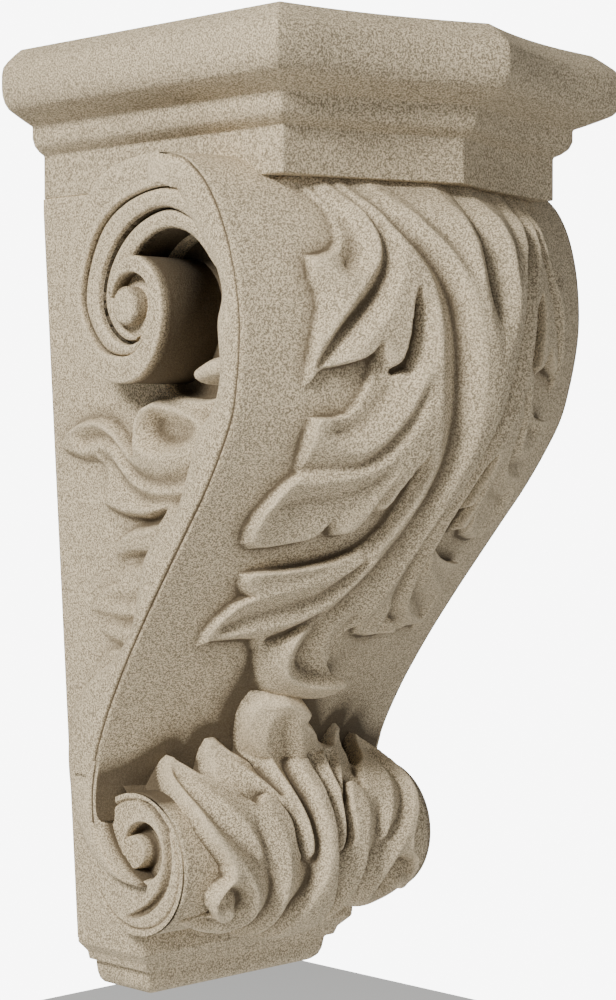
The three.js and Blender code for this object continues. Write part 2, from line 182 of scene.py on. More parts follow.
# %% [markdown]
# Most carving has an outline where it drops to the ground. How far a place lies inside
# that outline decides where the wall stands, and where the arris above it is rubbed
# round. A distance does this for any outline, also where two lobes nearly touch.

# %% distance to a line and to an outline
def line_distance(u, v, line):
    """Distance from each place to a line of points."""
    best = np.full(u.shape, 1e9)
    for (u0, v0), (u1, v1) in zip(line[:-1], line[1:]):
        du, dv = u1 - u0, v1 - v0
        t = np.clip(((u - u0) * du + (v - v0) * dv) / (du * du + dv * dv + 1e-9), 0, 1)
        best = np.minimum(best, (u - u0 - t * du) ** 2 + (v - v0 - t * dv) ** 2)
    return np.sqrt(best)


def inside(u, v, ring):
    """Which places lie inside a closed ring of points."""
    odd = np.zeros(u.shape, bool)
    for (u0, v0), (u1, v1) in zip(ring, np.roll(ring, -1, axis=0)):
        crosses = (v0 > v) != (v1 > v)
        where = u0 + (v - v0) * (u1 - u0) / (v1 - v0 + 1e-12)
        odd ^= crosses & (u < where)
    return odd


def signed_distance(u, v, ring):
    """Positive inside a closed ring."""
    away = line_distance(u, v, np.vstack([ring, ring[:1]]))
    return np.where(inside(u, v, ring), away, -away)


# %% [markdown]
# How hollow or proud each place is, against its surroundings, is kept with the mesh. The
# finish paints shade, with some dust, into the hollows and makes proud edges paler. It is
# measured against a wide, a middle and a tight surrounding, so that a deep bay and a thin
# groove both count.

# %% hollow or proud
def blur(field, radius):
    """The mean of each place's surroundings, taken twice over a square window."""
    for _ in range(2):
        for axis in (0, 1):
            padded = np.concatenate([
                np.repeat(field.take([0], axis), radius, axis), field,
                np.repeat(field.take([-1], axis), radius, axis)], axis)
            nothing = np.zeros_like(padded.take([0], axis))
            total = np.cumsum(np.concatenate([nothing, padded], axis), axis)
            span = 2 * radius + 1
            count = field.shape[axis]
            upper = total.take(range(span, span + count), axis)
            field = (upper - total.take(range(count), axis)) / span
    return field


# how far round, the fewest grid steps, the difference that counts in full, its share
SURROUNDINGS = [(8, 2, 6.0, 0.4), (3.5, 2, 3.0, 0.4), (1, 1, 0.8, 0.3)]


def hollowness(height, spacing):
    """From about -1 in deep hollows to 1 on proud edges."""
    total = 0
    for wide, fewest, full, share in SURROUNDINGS:
        proud = height - blur(height, max(fewest, int(wide / spacing)))
        total = total + np.clip(proud / full, -1, 1) * share
    return total


# %% [markdown]
# Every piece is a closed mesh that rides on the one body and stands in for its solid. It
# is stored in metres, and carries the hollow value at each point.

# %% one piece
def add_piece(name, points, faces, hollow=None):
    """Makes a mesh of points in millimetres, and hangs it on the frame."""
    mesh = bpy.data.meshes.new(name)
    mesh.from_pydata((np.asarray(points) * MM).tolist(), [], faces)
    mesh.update()
    piece = bpy.data.objects.new(name, mesh)
    bpy.context.scene.collection.objects.link(piece)
    values = np.zeros(len(mesh.vertices)) if hollow is None else hollow
    kept = mesh.attributes.new("hollow", "FLOAT", "POINT")
    kept.data.foreach_set("value", values.astype(np.float32))
    work = bmesh.new()
    work.from_mesh(mesh)
    bmesh.ops.recalc_face_normals(work, faces=work.faces)
    work.to_mesh(mesh)
    work.free()
    mesh.polygons.foreach_set("use_smooth", [True] * len(mesh.polygons))
    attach(piece, "root")
    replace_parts(piece, "corbel")
    print(name, len(mesh.polygons), "faces")
    return piece


# %% [markdown]
# A finished field of heights becomes a mesh of quads. Its border is carried into the
# stone in one step and then runs in to one hidden point, so that each piece is a whole
# body and no light gets in behind it. What is hidden is painted in full shade, so a
# crevice between two pieces stays dark.

# %% grids to meshes
def grid_piece(name, x, y, z, hollow, centre, shrink=None, shift=(0, 0, 0)):
    """A closed piece from a grid of points; shrink and shift place the first step in."""
    rows, columns = x.shape
    points = np.stack([x, y, z], axis=-1).reshape(-1, 3)
    index = np.arange(rows * columns).reshape(rows, columns)
    quads = np.stack([index[:-1, :-1], index[:-1, 1:], index[1:, 1:], index[1:, :-1]], axis=-1)
    faces = quads.reshape(-1, 4).tolist()
    border = np.concatenate([index[0, :-1], index[:-1, -1], index[-1, :0:-1], index[:0:-1, 0]])
    if shrink is None:
        inner = points[border] * 0.7 + np.array(centre) * 0.3
    else:
        inner = points[border] * np.array(shrink) + np.array(shift)
    start = len(points)
    points = np.vstack([points, inner, np.array([centre])])
    count = len(border)
    last = start + count
    for i in range(count):
        j = (i + 1) % count
        faces.append([int(border[j]), int(border[i]), start + i, start + j])
        faces.append([start + j, start + i, last])
    # the hidden step and point are painted in full shade, for the crevices between pieces
    values = np.concatenate([hollow.reshape(-1), -np.ones(count + 1)])
    return add_piece(name, points, faces, values)


# %% [markdown]
# The front of the bracket carries the big acanthus leaf. One half is drawn, and the other
# is its mirror image, but for the curled tip. The outline is where the leaf drops to the
# plain stone; the slot is a deep eye between two lobes, cut right down to the ground.

# %% the leaf's outline
# distance from the middle, height
LEAF_OUTLINE = [
    (0, 130), (60, 130), (66, 121.5), (60, 119), (57, 115), (54.5, 110), (54, 105), (55, 100),
    (58, 97), (62, 95.6), (66.5, 95), (66, 91), (65.5, 87), (64, 83), (63.3, 78), (64.3, 72),
    (65, 65), (65.2, 58), (64.5, 50), (62, 55), (60, 57), (53, 58.5), (49, 60), (46, 62.5),
    (44, 65.5), (43.2, 62), (43.4, 56), (44.5, 50), (46.5, 45), (49, 42), (53, 40.8), (60, 40.6),
    (60.6, 38), (60.3, 33), (59.3, 27), (57.5, 21.5), (60, 18.5), (62.3, 14), (64.2, 8), (64.3, 2),
    (62.5, -3), (59, -5.3), (52, -5), (47, -4), (42, -3), (39, -1), (38, 2), (36.5, 3.6),
    (34.5, 1.5), (32, -0.8), (29.5, -1), (27.8, 0), (26.6, 4), (25.8, 9.5), (23.8, 8.2), (22, 7),
    (21, 10), (20.4, 16), (19.5, 22), (17.6, 27), (16, 22), (15, 15), (14.8, 8), (15.4, 2),
    (17.5, -3), (21, -7), (26, -9.4), (31, -11), (37, -12.4), (45, -13.4), (52, -13.8), (56, -14.6),
    (55, -18), (52, -21.5), (49.5, -23), (53.5, -26), (56.5, -31), (57.8, -37), (56.6, -42),
    (54, -39.9), (48, -39.6), (43, -39.3), (38.5, -39.6), (36.4, -42), (34.4, -44), (32.4, -48),
    (30, -52.5), (27.5, -56.5), (24, -60), (19, -62.4), (11, -64.4), (0, -65.3),
]
EYE_SLOT = [
    (32, 84.5), (33.6, 79), (34.2, 72), (34.6, 65), (35.6, 59.5), (38, 57), (36, 55.5), (32, 57.5),
    (30.2, 62), (29.3, 70), (29.8, 79),
]

# %% [markdown]
# Inside the outline the carving is given as the carver sees it: the crests and the
# valleys, each a line with its own height above the ground. What lies between is a
# stretched skin, found by relaxing the heights until each point is the mean of its
# neighbours. Crests stay crisp, valleys stay deep, and slopes run evenly between them.
# A row of swept tubes would need many more numbers and would still look like tubes.

# %% the leaf's crests and valleys
# distance from the middle, height on the front, raised by
LEAF_LINES = {
    "central groove": [(0, 128, 1.7), (0, 110, 1.2), (0, 95, 1.5), (0, 83, 2.7), (0, 75, 5.7)],
    "midrib": [(0, 70, 9), (0, 60, 9.8), (0, 40, 10), (0, 20, 10), (0, 0, 10), (0, -15, 9.6),
        (0, -30, 8.6)],
    "top ridge": [(9, 128, 9), (9.5, 110, 10), (9.5, 95, 10.6), (8, 80, 10.6), (5, 68, 10.4),
        (2, 60, 10)],
    "short groove": [(29, 128, 5.7), (26, 119, 5.7), (22, 109, 5.9), (18, 102, 6.5), (14, 96, 7.7),
        (11.5, 90, 8.9)],
    "second ridge": [(36, 128, 9), (33, 120, 9), (29, 112, 9.5), (24.5, 104, 10), (19, 96, 10.4),
        (15.5, 87, 10.6), (12, 76, 10.6), (9, 64, 10.3), (6, 48, 10), (3.5, 32, 10), (2.6, 10, 10)],
    "long valley": [(44, 128, 4.7), (41, 120, 4.7), (37, 112, 4.7), (33, 104, 4.5), (27, 97, 4.1),
        (22, 90, 3.7), (18.5, 82, 3.3), (16, 72, 3.1), (14, 60, 3.1), (12.5, 50, 3.1),
        (11, 40, 3.1), (8.8, 30, 3.1), (7.2, 20, 3.1), (6.4, 8, 3.1), (6.8, -3, 3.1), (9, -13, 3.3),
        (12, -22, 3.3), (15.5, -30, 3.1)],
    "long ridge": [(48, 128, 8.5), (45, 120, 8.5), (41, 111, 9), (37, 103, 9.5), (32, 96, 9.6),
        (28, 88, 9.6), (26, 78, 9.5), (24.6, 68, 9.5), (23, 57, 9.5), (21, 46, 9.5),
        (18.2, 36, 9.5), (15.2, 29, 9.3), (12.8, 18, 9), (12.2, 8, 9), (13, 0, 9), (15, -7, 9),
        (19.5, -13, 9), (26, -17.5, 9), (35, -20.5, 8.7), (44, -23, 8), (50, -24.4, 6.8),
        (53.2, -27.5, 6), (55.4, -33, 5.4), (55.6, -38.5, 4.4)],
    "channel of the first lobe": [(51, 128, 5.2), (48, 120, 5.2), (43.5, 110, 5), (41, 102, 4.7),
        (41.2, 93, 4.1), (44.4, 85, 2.9), (49, 78.5, 1.7), (54, 72, 1.1), (58.5, 65, 1.1),
        (61.8, 58.5, 1.1)],
    "rim of the first bowl": [(54, 128, 8), (51, 121, 8), (47.5, 114, 8.6), (45, 106, 9),
        (44.5, 99, 9.2), (46.5, 92, 9), (50.5, 88, 8.6), (55, 87, 8), (59, 89, 7.5),
        (62.5, 92, 6.5), (65.7, 94.3, 5)],
    "first bowl": [(56.5, 119, 2.7), (52.6, 110, 2.1), (50.4, 103, 1.9), (50.6, 96, 1.9),
        (53.8, 91.6, 2.3)],
    "edge of the first bowl": [(60, 120.5, 4), (57.4, 116, 5), (55.4, 110, 5.4), (54.9, 104, 5.4),
        (56, 99.4, 5.4), (59.5, 96.6, 5.4)],
    "crest of the first lobe": [(48.5, 89.5, 9), (52, 84, 8.6), (55.5, 79, 8), (59, 73, 7),
        (62, 66, 5.6), (64, 57, 3.6)],
    "flank of the first lobe": [(65, 90, 4.5), (63.2, 84, 3), (62.5, 78, 2.6), (63.6, 70, 2.2)],
    "back of the first lobe": [(36, 98, 9.4), (38.5, 88, 9.5), (42, 79, 9.2), (46.5, 71, 8.6),
        (52, 63.5, 7.6), (58.5, 58.3, 5)],
    "hem of the first lobe": [(60, 57.4, 5), (53, 59.2, 7), (49, 60.8, 7.8), (46, 63.2, 8),
        (44, 66.3, 8), (41.5, 62, 8), (38.5, 58.4, 7.6)],
    "lip of the upper eye": [(37.2, 58.2, 7.8), (35.6, 66, 8.8), (34.8, 76, 9.2), (33.6, 85, 9.4)],
    "far side of the upper eye": [(28.8, 79, 4.9), (28.6, 70, 4.1), (29.8, 62, 3.5),
        (31.5, 56.5, 3.1)],
    "under the first lobe": [(42.5, 62, 2), (41, 58, 2.6), (38, 54.5, 3.4), (34, 54, 4)],
    "edge of the second bowl": [(43.6, 57, 4.2), (45.2, 50, 5.4), (47.8, 45, 6), (51, 42.2, 6.4),
        (56, 40.4, 6), (59.7, 39.9, 5)],
    "second bowl": [(37.5, 50, 2.7), (41.5, 42, 2.8), (46, 37, 2.9), (51.5, 35.6, 3.3)],
    "rim of the second bowl": [(59.3, 37.5, 5.5), (55.5, 32, 7), (49.5, 28.8, 8), (43, 28, 8.7),
        (38, 30.5, 9.1), (34.5, 35.5, 9.3), (32, 41, 9.4), (29.5, 48, 9.5), (27.5, 57, 9.5)],
    "fold between bowls": [(57.8, 22.6, 1.1), (52, 23.2, 3.3), (46, 23.4, 4.5), (40, 23.8, 4.9),
        (35, 27.5, 5.1), (31.4, 34, 5.6), (28.6, 41, 6.3), (26, 50, 7.1)],
    "upper rim of the third bowl": [(59, 18.3, 6), (53, 17.8, 7.6), (47, 18.3, 8.4),
        (41, 19.2, 8.8), (35, 21.6, 9.1), (30, 27, 9.4), (27, 34, 9.5), (24.6, 43, 9.6)],
    "left rim of the third bowl": [(59, 18.3, 6), (61.4, 12, 6.6), (62.2, 5, 6.6), (60.6, -1, 6),
        (57, -4.1, 5.5)],
    "third bowl": [(57.6, 9, 2.9), (52, 11.4, 2.9), (46, 12, 3.4), (40, 13, 4.2), (34, 15.5, 5.3),
        (29, 20.5, 6.5)],
    "hem of the third bowl": [(57, -4.2, 4.2), (50, -4.2, 5.7), (44, -3, 6.7), (40, -1.4, 7),
        (37.6, 2.6, 7)],
    "small lobe": [(31, -0.2, 8), (29, 6, 8.8), (27, 13, 9.2), (25, 21, 9.5), (22.6, 31, 9.6)],
    "notch by the small lobe": [(36.3, 4.6, 4.9), (33, 11, 6.1), (30, 17, 7.1)],
    "smallest lobe": [(22.4, 8, 8.4), (21.4, 15, 9.2), (20.4, 22, 9.5), (18.6, 29, 9.6)],
    "notch by the smallest lobe": [(25.7, 10.6, 5.3), (24.3, 17, 6.9)],
    "far side of the lower eye": [(14.4, 24, 5.2), (14, 14, 4.3), (14.4, 5, 3.7), (16.6, -2, 3.3),
        (20, -6, 3.1)],
    "upper edge of the first finger": [(22, -8.6, 6), (27, -10.4, 7.2), (35, -12.8, 7.8),
        (45, -14.2, 7.4), (52, -14.9, 6.2), (55.2, -15.8, 4.8)],
    "fine groove of the first finger": [(49, -18.3, 5.6), (42, -17, 6.2), (34, -15.4, 7),
        (27, -13.2, 7.8)],
    "first fingertip": [(49.5, -20.6, 6.4), (53.2, -18, 5.4)],
    "groove between fingers": [(52.3, -35.4, 1.7), (47, -32.2, 2.3), (41, -29.8, 3.1),
        (33, -27.3, 3.7), (26, -24.3, 4.1), (21, -19.5, 4.3), (17.3, -12, 4.7), (15.4, -6, 6.1)],
    "lower finger": [(53.4, -38, 4.8), (45, -36.6, 7), (36, -35, 8.2), (28, -32.4, 9),
        (21, -27, 9.2), (16.4, -19, 9.2), (13.4, -10, 9.2)],
    "hem of the lower finger": [(54, -39.2, 4.3), (48, -39.1, 5.4), (42, -38.7, 6.4),
        (38, -39.1, 6.4), (36.2, -41.2, 5.2)],
    "fold above the lip": [(19, -30.5, 3.1), (22.4, -34, 2.5), (27.5, -37.6, 1.9),
        (33, -40.2, 1.3)],
    "crest of the curled lip": [(22.6, -35.2, 7.5), (25.4, -39, 10.4), (26.6, -44, 12.2),
        (25.6, -50, 13.2), (22, -55, 13.9), (16, -58, 14.3), (8, -59.6, 14.5), (0, -60, 14.6)],
    "foot of the curled lip": [(33.2, -44.5, 4), (30.4, -50, 5.2), (26.6, -55.4, 6.6),
        (21.6, -59.8, 8), (12, -62.8, 9), (0, -64.2, 9.4)],
    "hollow of the lip": [(17, -35, 3.7), (18.4, -42, 3.7), (17.4, -48.5, 4.3), (12, -52.8, 5.3),
        (5, -54.2, 5.9), (0, -54.8, 6.1)],
    "inner ridge of the lip": [(11, -28, 7), (12.8, -37, 7.8), (11.4, -45, 8), (7, -49.6, 8)],
    "inner valley of the lip": [(5, -32, 4.1), (6.4, -41, 3.9), (3.4, -48, 5.1)],
}


# %% [markdown]
# Relaxing a fine grid alone would take thousands of rounds, so it starts on a coarse grid
# and the result is handed down to finer ones.

# %% the stretched skin
COARSER = ((8, 120), (4, 120), (2, 120), (1, 90))
FIRST_HEIGHT = 7.0


def sample_grid(grid, u, v):
    """Reads a grid of values at places u, v, straight between its points."""
    u_at, v_at, values = grid[:3]
    c = np.clip((u - u_at[0]) / (u_at[1] - u_at[0]), 0, len(u_at) - 1.001)
    r = np.clip((v - v_at[0]) / (v_at[1] - v_at[0]), 0, len(v_at) - 1.001)
    c0, r0 = c.astype(int), r.astype(int)
    fc, fr = c - c0, r - r0
    return ((values[r0, c0] * (1 - fc) + values[r0, c0 + 1] * fc) * (1 - fr)
            + (values[r0 + 1, c0] * (1 - fc) + values[r0 + 1, c0 + 1] * fc) * fr)


def relax(height, fixed, region, rounds):
    """Pulls free points of the region to the mean of their neighbours in it."""
    for _ in range(rounds):
        total = np.zeros_like(height)
        count = np.zeros_like(height)
        for axis, shift in ((0, 1), (0, -1), (1, 1), (1, -1)):
            there = np.roll(region, shift, axis)
            total += np.where(there, np.roll(height, shift, axis), 0)
            count += there
        mean = total / np.maximum(count, 1)
        height = np.where(region & ~fixed, mean, height)
    return height


def lines_on_grid(lines, u_at, v_at, step):
    """The sum of line heights at each grid place, and how many fell there."""
    total = np.zeros((len(v_at), len(u_at)))
    count = np.zeros(total.shape)
    for rows in lines:
        path = smooth(rows, 40 * (len(rows) - 1))
        column = np.rint((path[:, 0] - u_at[0]) / step).astype(int)
        row = np.rint((path[:, 1] - v_at[0]) / step).astype(int)
        ok = (column >= 0) & (column < len(u_at)) & (row >= 0) & (row < len(v_at))
        np.add.at(total, (row[ok], column[ok]), path[ok, 2])
        np.add.at(count, (row[ok], column[ok]), 1)
    return total, count


def stretched_skin(region_of, lines, window, finest):
    """Heights over a grid from crest and valley lines, coarse grids first."""
    left, right, low, high = window
    skin = None
    for times, rounds in COARSER:
        step = finest * times
        u_at = np.arange(left, right + step / 2, step)
        v_at = np.arange(low, high + step / 2, step)
        u, v = np.meshgrid(u_at, v_at)
        region = region_of(u, v)
        total, count = lines_on_grid(lines, u_at, v_at, step)
        fixed = (count > 0) & region
        if skin is None:
            height = np.where(region, FIRST_HEIGHT, 0.0)
        else:
            height = sample_grid(skin, u, v)
        height = np.where(fixed, total / np.maximum(count, 1), height)
        skin = (u_at, v_at, relax(height, fixed, region, rounds))
    return skin


def both_sides(rows):
    """A line and its mirror image."""
    rows = np.array(rows, float)
    return [rows, rows * [-1, 1, 1]]


# %% [markdown]
# The outline of the leaf is closed a little past the middle, so that the two halves meet
# without a seam.

# %% the leaf's skin
SKIN_STEP = 0.5
SKIN_WINDOW = (-4.0, 72.0, -70.0, 130.0)
LEAF_RING = np.array(LEAF_OUTLINE + [(-8, -65.3), (-8, 130)], float)
SLOT_RING = np.array(EYE_SLOT, float)


def on_leaf(u, v):
    return inside(np.abs(u), v, LEAF_RING) & ~inside(np.abs(u), v, SLOT_RING)


leaf_lines = [line for rows in LEAF_LINES.values() for line in both_sides(rows)]
skin_u, skin_v, skin_height = stretched_skin(on_leaf, leaf_lines, SKIN_WINDOW, SKIN_STEP)
print("leaf skin", skin_height.shape, "highest", round(float(skin_height.max()), 1), "mm")

# %% [markdown]
# The grid of the front follows the S, so its cells stay square on the slope and where the
# front rolls over under the cap. Under the cap the leaf is pressed flatter. The curled
# tip comes from the left and ends just past the middle, and there the skin stops.

# %% the front surface
FRONT_STEP = 0.6
FRONT_ACROSS = 90
RIDGE_SOFTNESS = 0.07
ARRIS_WIDTH, ARRIS_DROP = 1.6, 0.9
FRONT_CLOSING = (0.6, 1, 0.97), (0, 7, 0)
TIP_END = np.array([
    (9, -72), (8.5, -64), (7.5, -57.5), (2, -54.5), (-3, -50), (-4, -44), (-3, -38), (1, -35.5),
    (5, -39.5), (14, -41), (26, -41), (36, -40), (50, -46), (50, -72)], float)


def arris(into, width, fall):
    """How much of the height is left near an outline, where the edge is rubbed round."""
    return 1 - fall * (1 - np.clip(into / width, 0, 1)) ** 2


def leaf_height(side, from_middle, z):
    """The leaf over the front: the skin, with a wall round its outline and soft arrises."""
    grid_u, grid_v = np.meshgrid(skin_u, skin_v)
    into = signed_distance(np.abs(grid_u), grid_v, LEAF_RING)
    slot = signed_distance(np.abs(grid_u), grid_v, SLOT_RING)
    beyond_tip = signed_distance(side * grid_u, grid_v, TIP_END)
    into = np.minimum(np.minimum(into, -slot), -beyond_tip)
    soft = blur(skin_height, 1) * arris(into, 1.6, 0.16)
    wall = ease(into / 1.1 + 0.35)
    height = sample_grid((skin_u, skin_v, soft * wall), from_middle, z)
    under_cap = 0.45 + 0.55 * ease((122 - z) / 13)
    return height * under_cap


def front_half(side):
    """One half of the front, from the middle to the arris of the bracket."""
    run = np.concatenate([[0], np.cumsum(np.hypot(*np.diff(front_line, axis=0).T))])
    stations = np.linspace(0, run[-1], int(run[-1] / FRONT_STEP))
    z_at = np.interp(stations, run, front_line[:, 1])
    y_at = np.interp(stations, run, front_line[:, 0])
    across = np.linspace(0, 1, int(FRONT_ACROSS / FRONT_STEP))
    part, z = np.meshgrid(across, z_at)
    y_edge = np.repeat(y_at[:, None], len(across), axis=1)
    from_middle = part * scroll_half(z)
    bow = 1 - np.minimum(1, np.sqrt(part ** 2 + RIDGE_SOFTNESS ** 2))
    height = leaf_height(side, from_middle, z)
    edge = 1 - ease((1 - part) * scroll_half(z) / ARRIS_WIDTH)
    height = height - ARRIS_DROP * edge ** 2
    y = y_edge - front_point(z) * bow - height
    # painted shade on the front, darker downwards into the crevice above the roll
    painted_shade_near_roll = ease((-78 - z) / 20)
    shade = hollowness(height, FRONT_STEP) - 0.95 * painted_shade_near_roll
    return grid_piece(
        f"front_{'left' if side < 0 else 'right'}", side * from_middle, y, z,
        shade, (side * 40, -30, 0), *FRONT_CLOSING)


front_left = front_half(-1)
front_right = front_half(1)

# %% [markdown]
# On the side of the bracket stand the volute with its flat band and two beads, the
# rounded ribbon that runs down the S, and a thin leaf that fills the hollow behind it.
# The bands are pairs of places, outer and inner, from the top round to the eye.

# %% the volute's lines
VOLUTE_BAND = [
    ((-106, 128.6), (-106, 117)), ((-92, 131.5), (-91.7, 120)), ((-76, 130.6), (-78, 118.6)),
    ((-62, 127), (-66, 114.8)), ((-49.5, 117.5), (-56, 108)), ((-40, 103), (-49, 98)),
    ((-36.7, 83), (-44, 83)), ((-40, 68), (-46.7, 73)), ((-49, 57), (-53, 65)),
    ((-60, 53), (-61, 62.5)), ((-72, 54.5), (-69.5, 63)), ((-82, 63), (-76.5, 68)),
    ((-87.8, 78), (-82, 79)), ((-85, 90), (-79.5, 88)), ((-76, 97), (-73, 91.5)),
    ((-67, 95.5), (-66.5, 90.5)), ((-62.5, 91), (-62.8, 87)), ((-59.8, 85), (-60.6, 83)),
]
OUTER_BEAD = [
    ((-124, 93), (-118, 90)), ((-118.5, 107), (-111, 101)), ((-109.5, 114), (-105, 107)),
    ((-91.7, 119.6), (-90, 113)), ((-73, 117), (-73, 109.4)), ((-58.6, 109.5), (-62, 101.6)),
    ((-49.6, 97.6), (-54.4, 90.6)), ((-44.6, 83), (-52.5, 80)), ((-47.2, 73.4), (-56, 72)),
    ((-53.4, 65.6), (-62, 67.6)), ((-60, 62.8), (-67, 66.5)), ((-69.5, 63.2), (-73, 68)),
    ((-76.5, 68.5), (-77, 70)),
]
INNER_BEAD = [
    ((-119, 90), (-115, 83)), ((-112, 102), (-107, 97)), ((-104, 108.5), (-99, 103.5)),
    ((-90, 112.6), (-88, 106)), ((-73.4, 108.6), (-77, 103)), ((-62.2, 100.8), (-67, 95)),
    ((-54.6, 90), (-60.6, 87)), ((-53, 80), (-59.4, 80)), ((-57, 72.2), (-62, 73)),
    ((-63, 68), (-67, 70)), ((-68.5, 67.6), (-70.5, 69.6)),
]

# %% [markdown]
# The side leaf is a stretched skin like the big leaf. It is a cup at the top, three long
# strands that wave towards the wall, and small lobes down to the tail of the ribbon.

# %% the side leaf's outline and lines
# depth, height on the side, raised by
SIDE_OUTLINE = [
    (-112, 40), (-100, 42), (-94, 37.5), (-86, 41.4), (-76, 44.8), (-66, 47.4), (-60, 45),
    (-56, 40), (-55, 33), (-54, 28.5), (-50.5, 27.6), (-46, 31.5), (-41.5, 36.4), (-36, 39.8),
    (-30, 40.8), (-23, 40.2), (-15.5, 37.8), (-10, 34.4), (-5, 31.2), (-9, 28.4), (-15, 26.9),
    (-20.5, 25.7), (-26.5, 26), (-31, 23), (-33, 17.5), (-32.5, 12), (-29.5, 9), (-37, 6.8),
    (-45, 5), (-56, 4.6), (-69, 8), (-64, 3), (-56, 1.5), (-48, 0.6), (-41, -2), (-36, -6),
    (-33.5, -11.6), (-43, -9.6), (-51, -8.4), (-60, -8.6), (-52, -11.8), (-44, -14.2), (-37, -15.8),
    (-30.5, -18.6), (-37, -19.6), (-31, -20.8), (-23.5, -24.6), (-16.8, -31), (-25, -31.8),
    (-33, -32.6), (-41, -33), (-54, -31.5), (-44, -35.6), (-33, -36), (-20, -37), (-30, -41.2),
    (-39, -43), (-29, -45.6), (-19, -52), (-11, -60), (-20, -56.6), (-29, -54.5), (-24, -60),
    (-14, -65.4), (-4, -71.6), (-10, -74), (-20, -76), (-32, -76), (-64, -36), (-80, -8),
    (-100, 16), (-112, 34),
]
SIDE_LINES = {
    "cup rim": [(-93, 36.5, 6), (-87, 31.5, 8), (-79, 28.6, 9), (-70, 27.2, 9.6), (-61, 28.4, 10),
        (-57.2, 33, 10), (-57.8, 39, 10), (-61.2, 43.6, 10), (-66, 46, 9.4)],
    "cup floor": [(-82, 34.4, 2.4), (-75, 33, 0.8), (-68, 33, 0.4), (-63.4, 36, 0.8),
        (-64, 39.6, 1)],
    "cup hollow": [(-84, 37.4, 2.3), (-77, 37, 0.8), (-70, 38, 0.8), (-65, 40, 1.1)],
    "cup lip": [(-90, 38, 5), (-84, 40.8, 5), (-76, 43.8, 5.4), (-70, 45.8, 6.4)],
    "upper strand": [(-100, 36, 9), (-92, 28, 8.4), (-80, 23.5, 8), (-68, 21.6, 8),
        (-58, 22.6, 7.6), (-51.4, 25.4, 7.4), (-46, 30, 7.2), (-40.4, 34.8, 7), (-33.5, 37.8, 6.8),
        (-25, 38, 6.4), (-17, 35.8, 5.8), (-11, 32.8, 4.6), (-7, 31.2, 3)],
    "first groove": [(-98, 28, 4.1), (-88, 22, 3.9), (-76, 18.4, 3.5), (-64, 17.6, 3.1),
        (-54, 20, 2.7), (-47, 25, 2.5), (-42, 30, 2.1), (-36, 33.4, 1.7), (-28, 34, 1.3),
        (-20, 32.4, 1.5)],
    "middle strand": [(-98, 22, 8), (-88, 17, 8), (-76, 14, 7.6), (-64, 13.8, 7), (-54, 16.2, 6.6),
        (-46.5, 21.2, 6.4), (-41, 26.6, 6), (-35, 30, 5.6), (-27, 30.6, 5), (-20, 29.4, 4.4),
        (-13, 29, 3.6)],
    "second groove": [(-94, 16, 3.7), (-84, 12, 3.3), (-72, 10.6, 2.7), (-60, 11, 2.1),
        (-50, 13.6, 1.7), (-43, 18.6, 1.5), (-38, 23.6, 1.3), (-31.6, 26.6, 1.1)],
    "lower strand": [(-92, 11, 7.6), (-82, 8.4, 7), (-72, 8.6, 6.4), (-60, 7.2, 6), (-50, 7.6, 5.4),
        (-42, 8.6, 5), (-34, 9.6, 4), (-34, 16, 4.2)],
    "second lobe": [(-82, 2, 7.6), (-72, -1.6, 7), (-60, -3.6, 6.4), (-48, -5, 5.6), (-40, -8, 4.4),
        (-36, -10.6, 2.8)],
    "small lobe": [(-66, -10, 6.4), (-54, -13.6, 5.2), (-44, -16, 4.2), (-34, -18.2, 2.6)],
    "third lobe": [(-64, -18, 7), (-52, -21.6, 6.6), (-42, -22.6, 6), (-32, -23.2, 5.4),
        (-25, -26.2, 4.6), (-19.6, -30, 3.2)],
    "third lobe's groove": [(-56, -26, 2.1), (-46, -25.8, 1.7), (-36, -26.2, 1.3),
        (-29, -27.8, 1.3)],
    "third lobe's hem": [(-56, -29.6, 6), (-44, -30.4, 5.4), (-34, -30.8, 4.6), (-27, -30.4, 3.8)],
    "fourth lobe": [(-54, -35.6, 6.4), (-44, -39, 5.8), (-34, -38.8, 5), (-24, -37.8, 3.2)],
    "fifth lobe": [(-44, -44, 6.8), (-34, -48.6, 6), (-24, -52.8, 5.2), (-14, -58.6, 3.2)],
    "sixth lobe": [(-34, -60, 6.4), (-24, -65, 5.4), (-14, -68.8, 4.4), (-7, -71, 2.8)],
}
SIDE_RING = np.array(SIDE_OUTLINE, float)
SIDE_WINDOW = (-114, 0, -78, 50)
side_lines = [np.array(rows, float) for rows in SIDE_LINES.values()]
side_skin = stretched_skin(lambda u, v: inside(u, v, SIDE_RING), side_lines, SIDE_WINDOW, 0.6)
print("side leaf", side_skin[2].shape)

# %% [markdown]
# The ribbon is bounded by the front of the bracket and by a line on the wall side. It is
# rounded over towards the wall and has a thin crease beside its front arris. Behind the
# volute the block is cut in deep, and a small knob fills the corner below.

# %% lines on the side
SIDE_STEP, RIGHT_STEP = 0.62, 0.8
SIDE_LOW, SIDE_HIGH, SIDE_REACH = -158, 133, 128
FOOT_DEPTH = -38.4
TAIL_FRONT = [(-32.6, -108), (-34.6, -113), (-39, -120), (-46, -126), (-53, -129.8)]
TAIL_BACK = [
    (-53, -129.8), (-46, -129.6), (-37, -127.8), (-27, -122.3), (-20, -112.4), (-17, -100),
    (-16, -88), (-17.4, -77), (-21, -68), (-27, -60), (-33, -54),
]
RIBBON_START = [(-90, 120.6), (-84, 120.8), (-84, 130)]
RECESS = [
    (-116, 82), (-110, 98), (-99, 104), (-88, 106), (-77, 103), (-67, 95), (-60, 87), (-60, 76),
    (-62, 64), (-66, 50), (-80, 46), (-92, 47), (-100, 50), (-108, 60), (-113, 73),
]
RECESS_DEPTH, RECESS_WALL = 13, 3.5
KNOB = [(-111, 58, 5, 15), (-104, 57, 4.6, 15.5), (-98, 55.4, 3.8, 14.5)]
RIBBON_ROUND, RIBBON_FALL = 7, 4.5
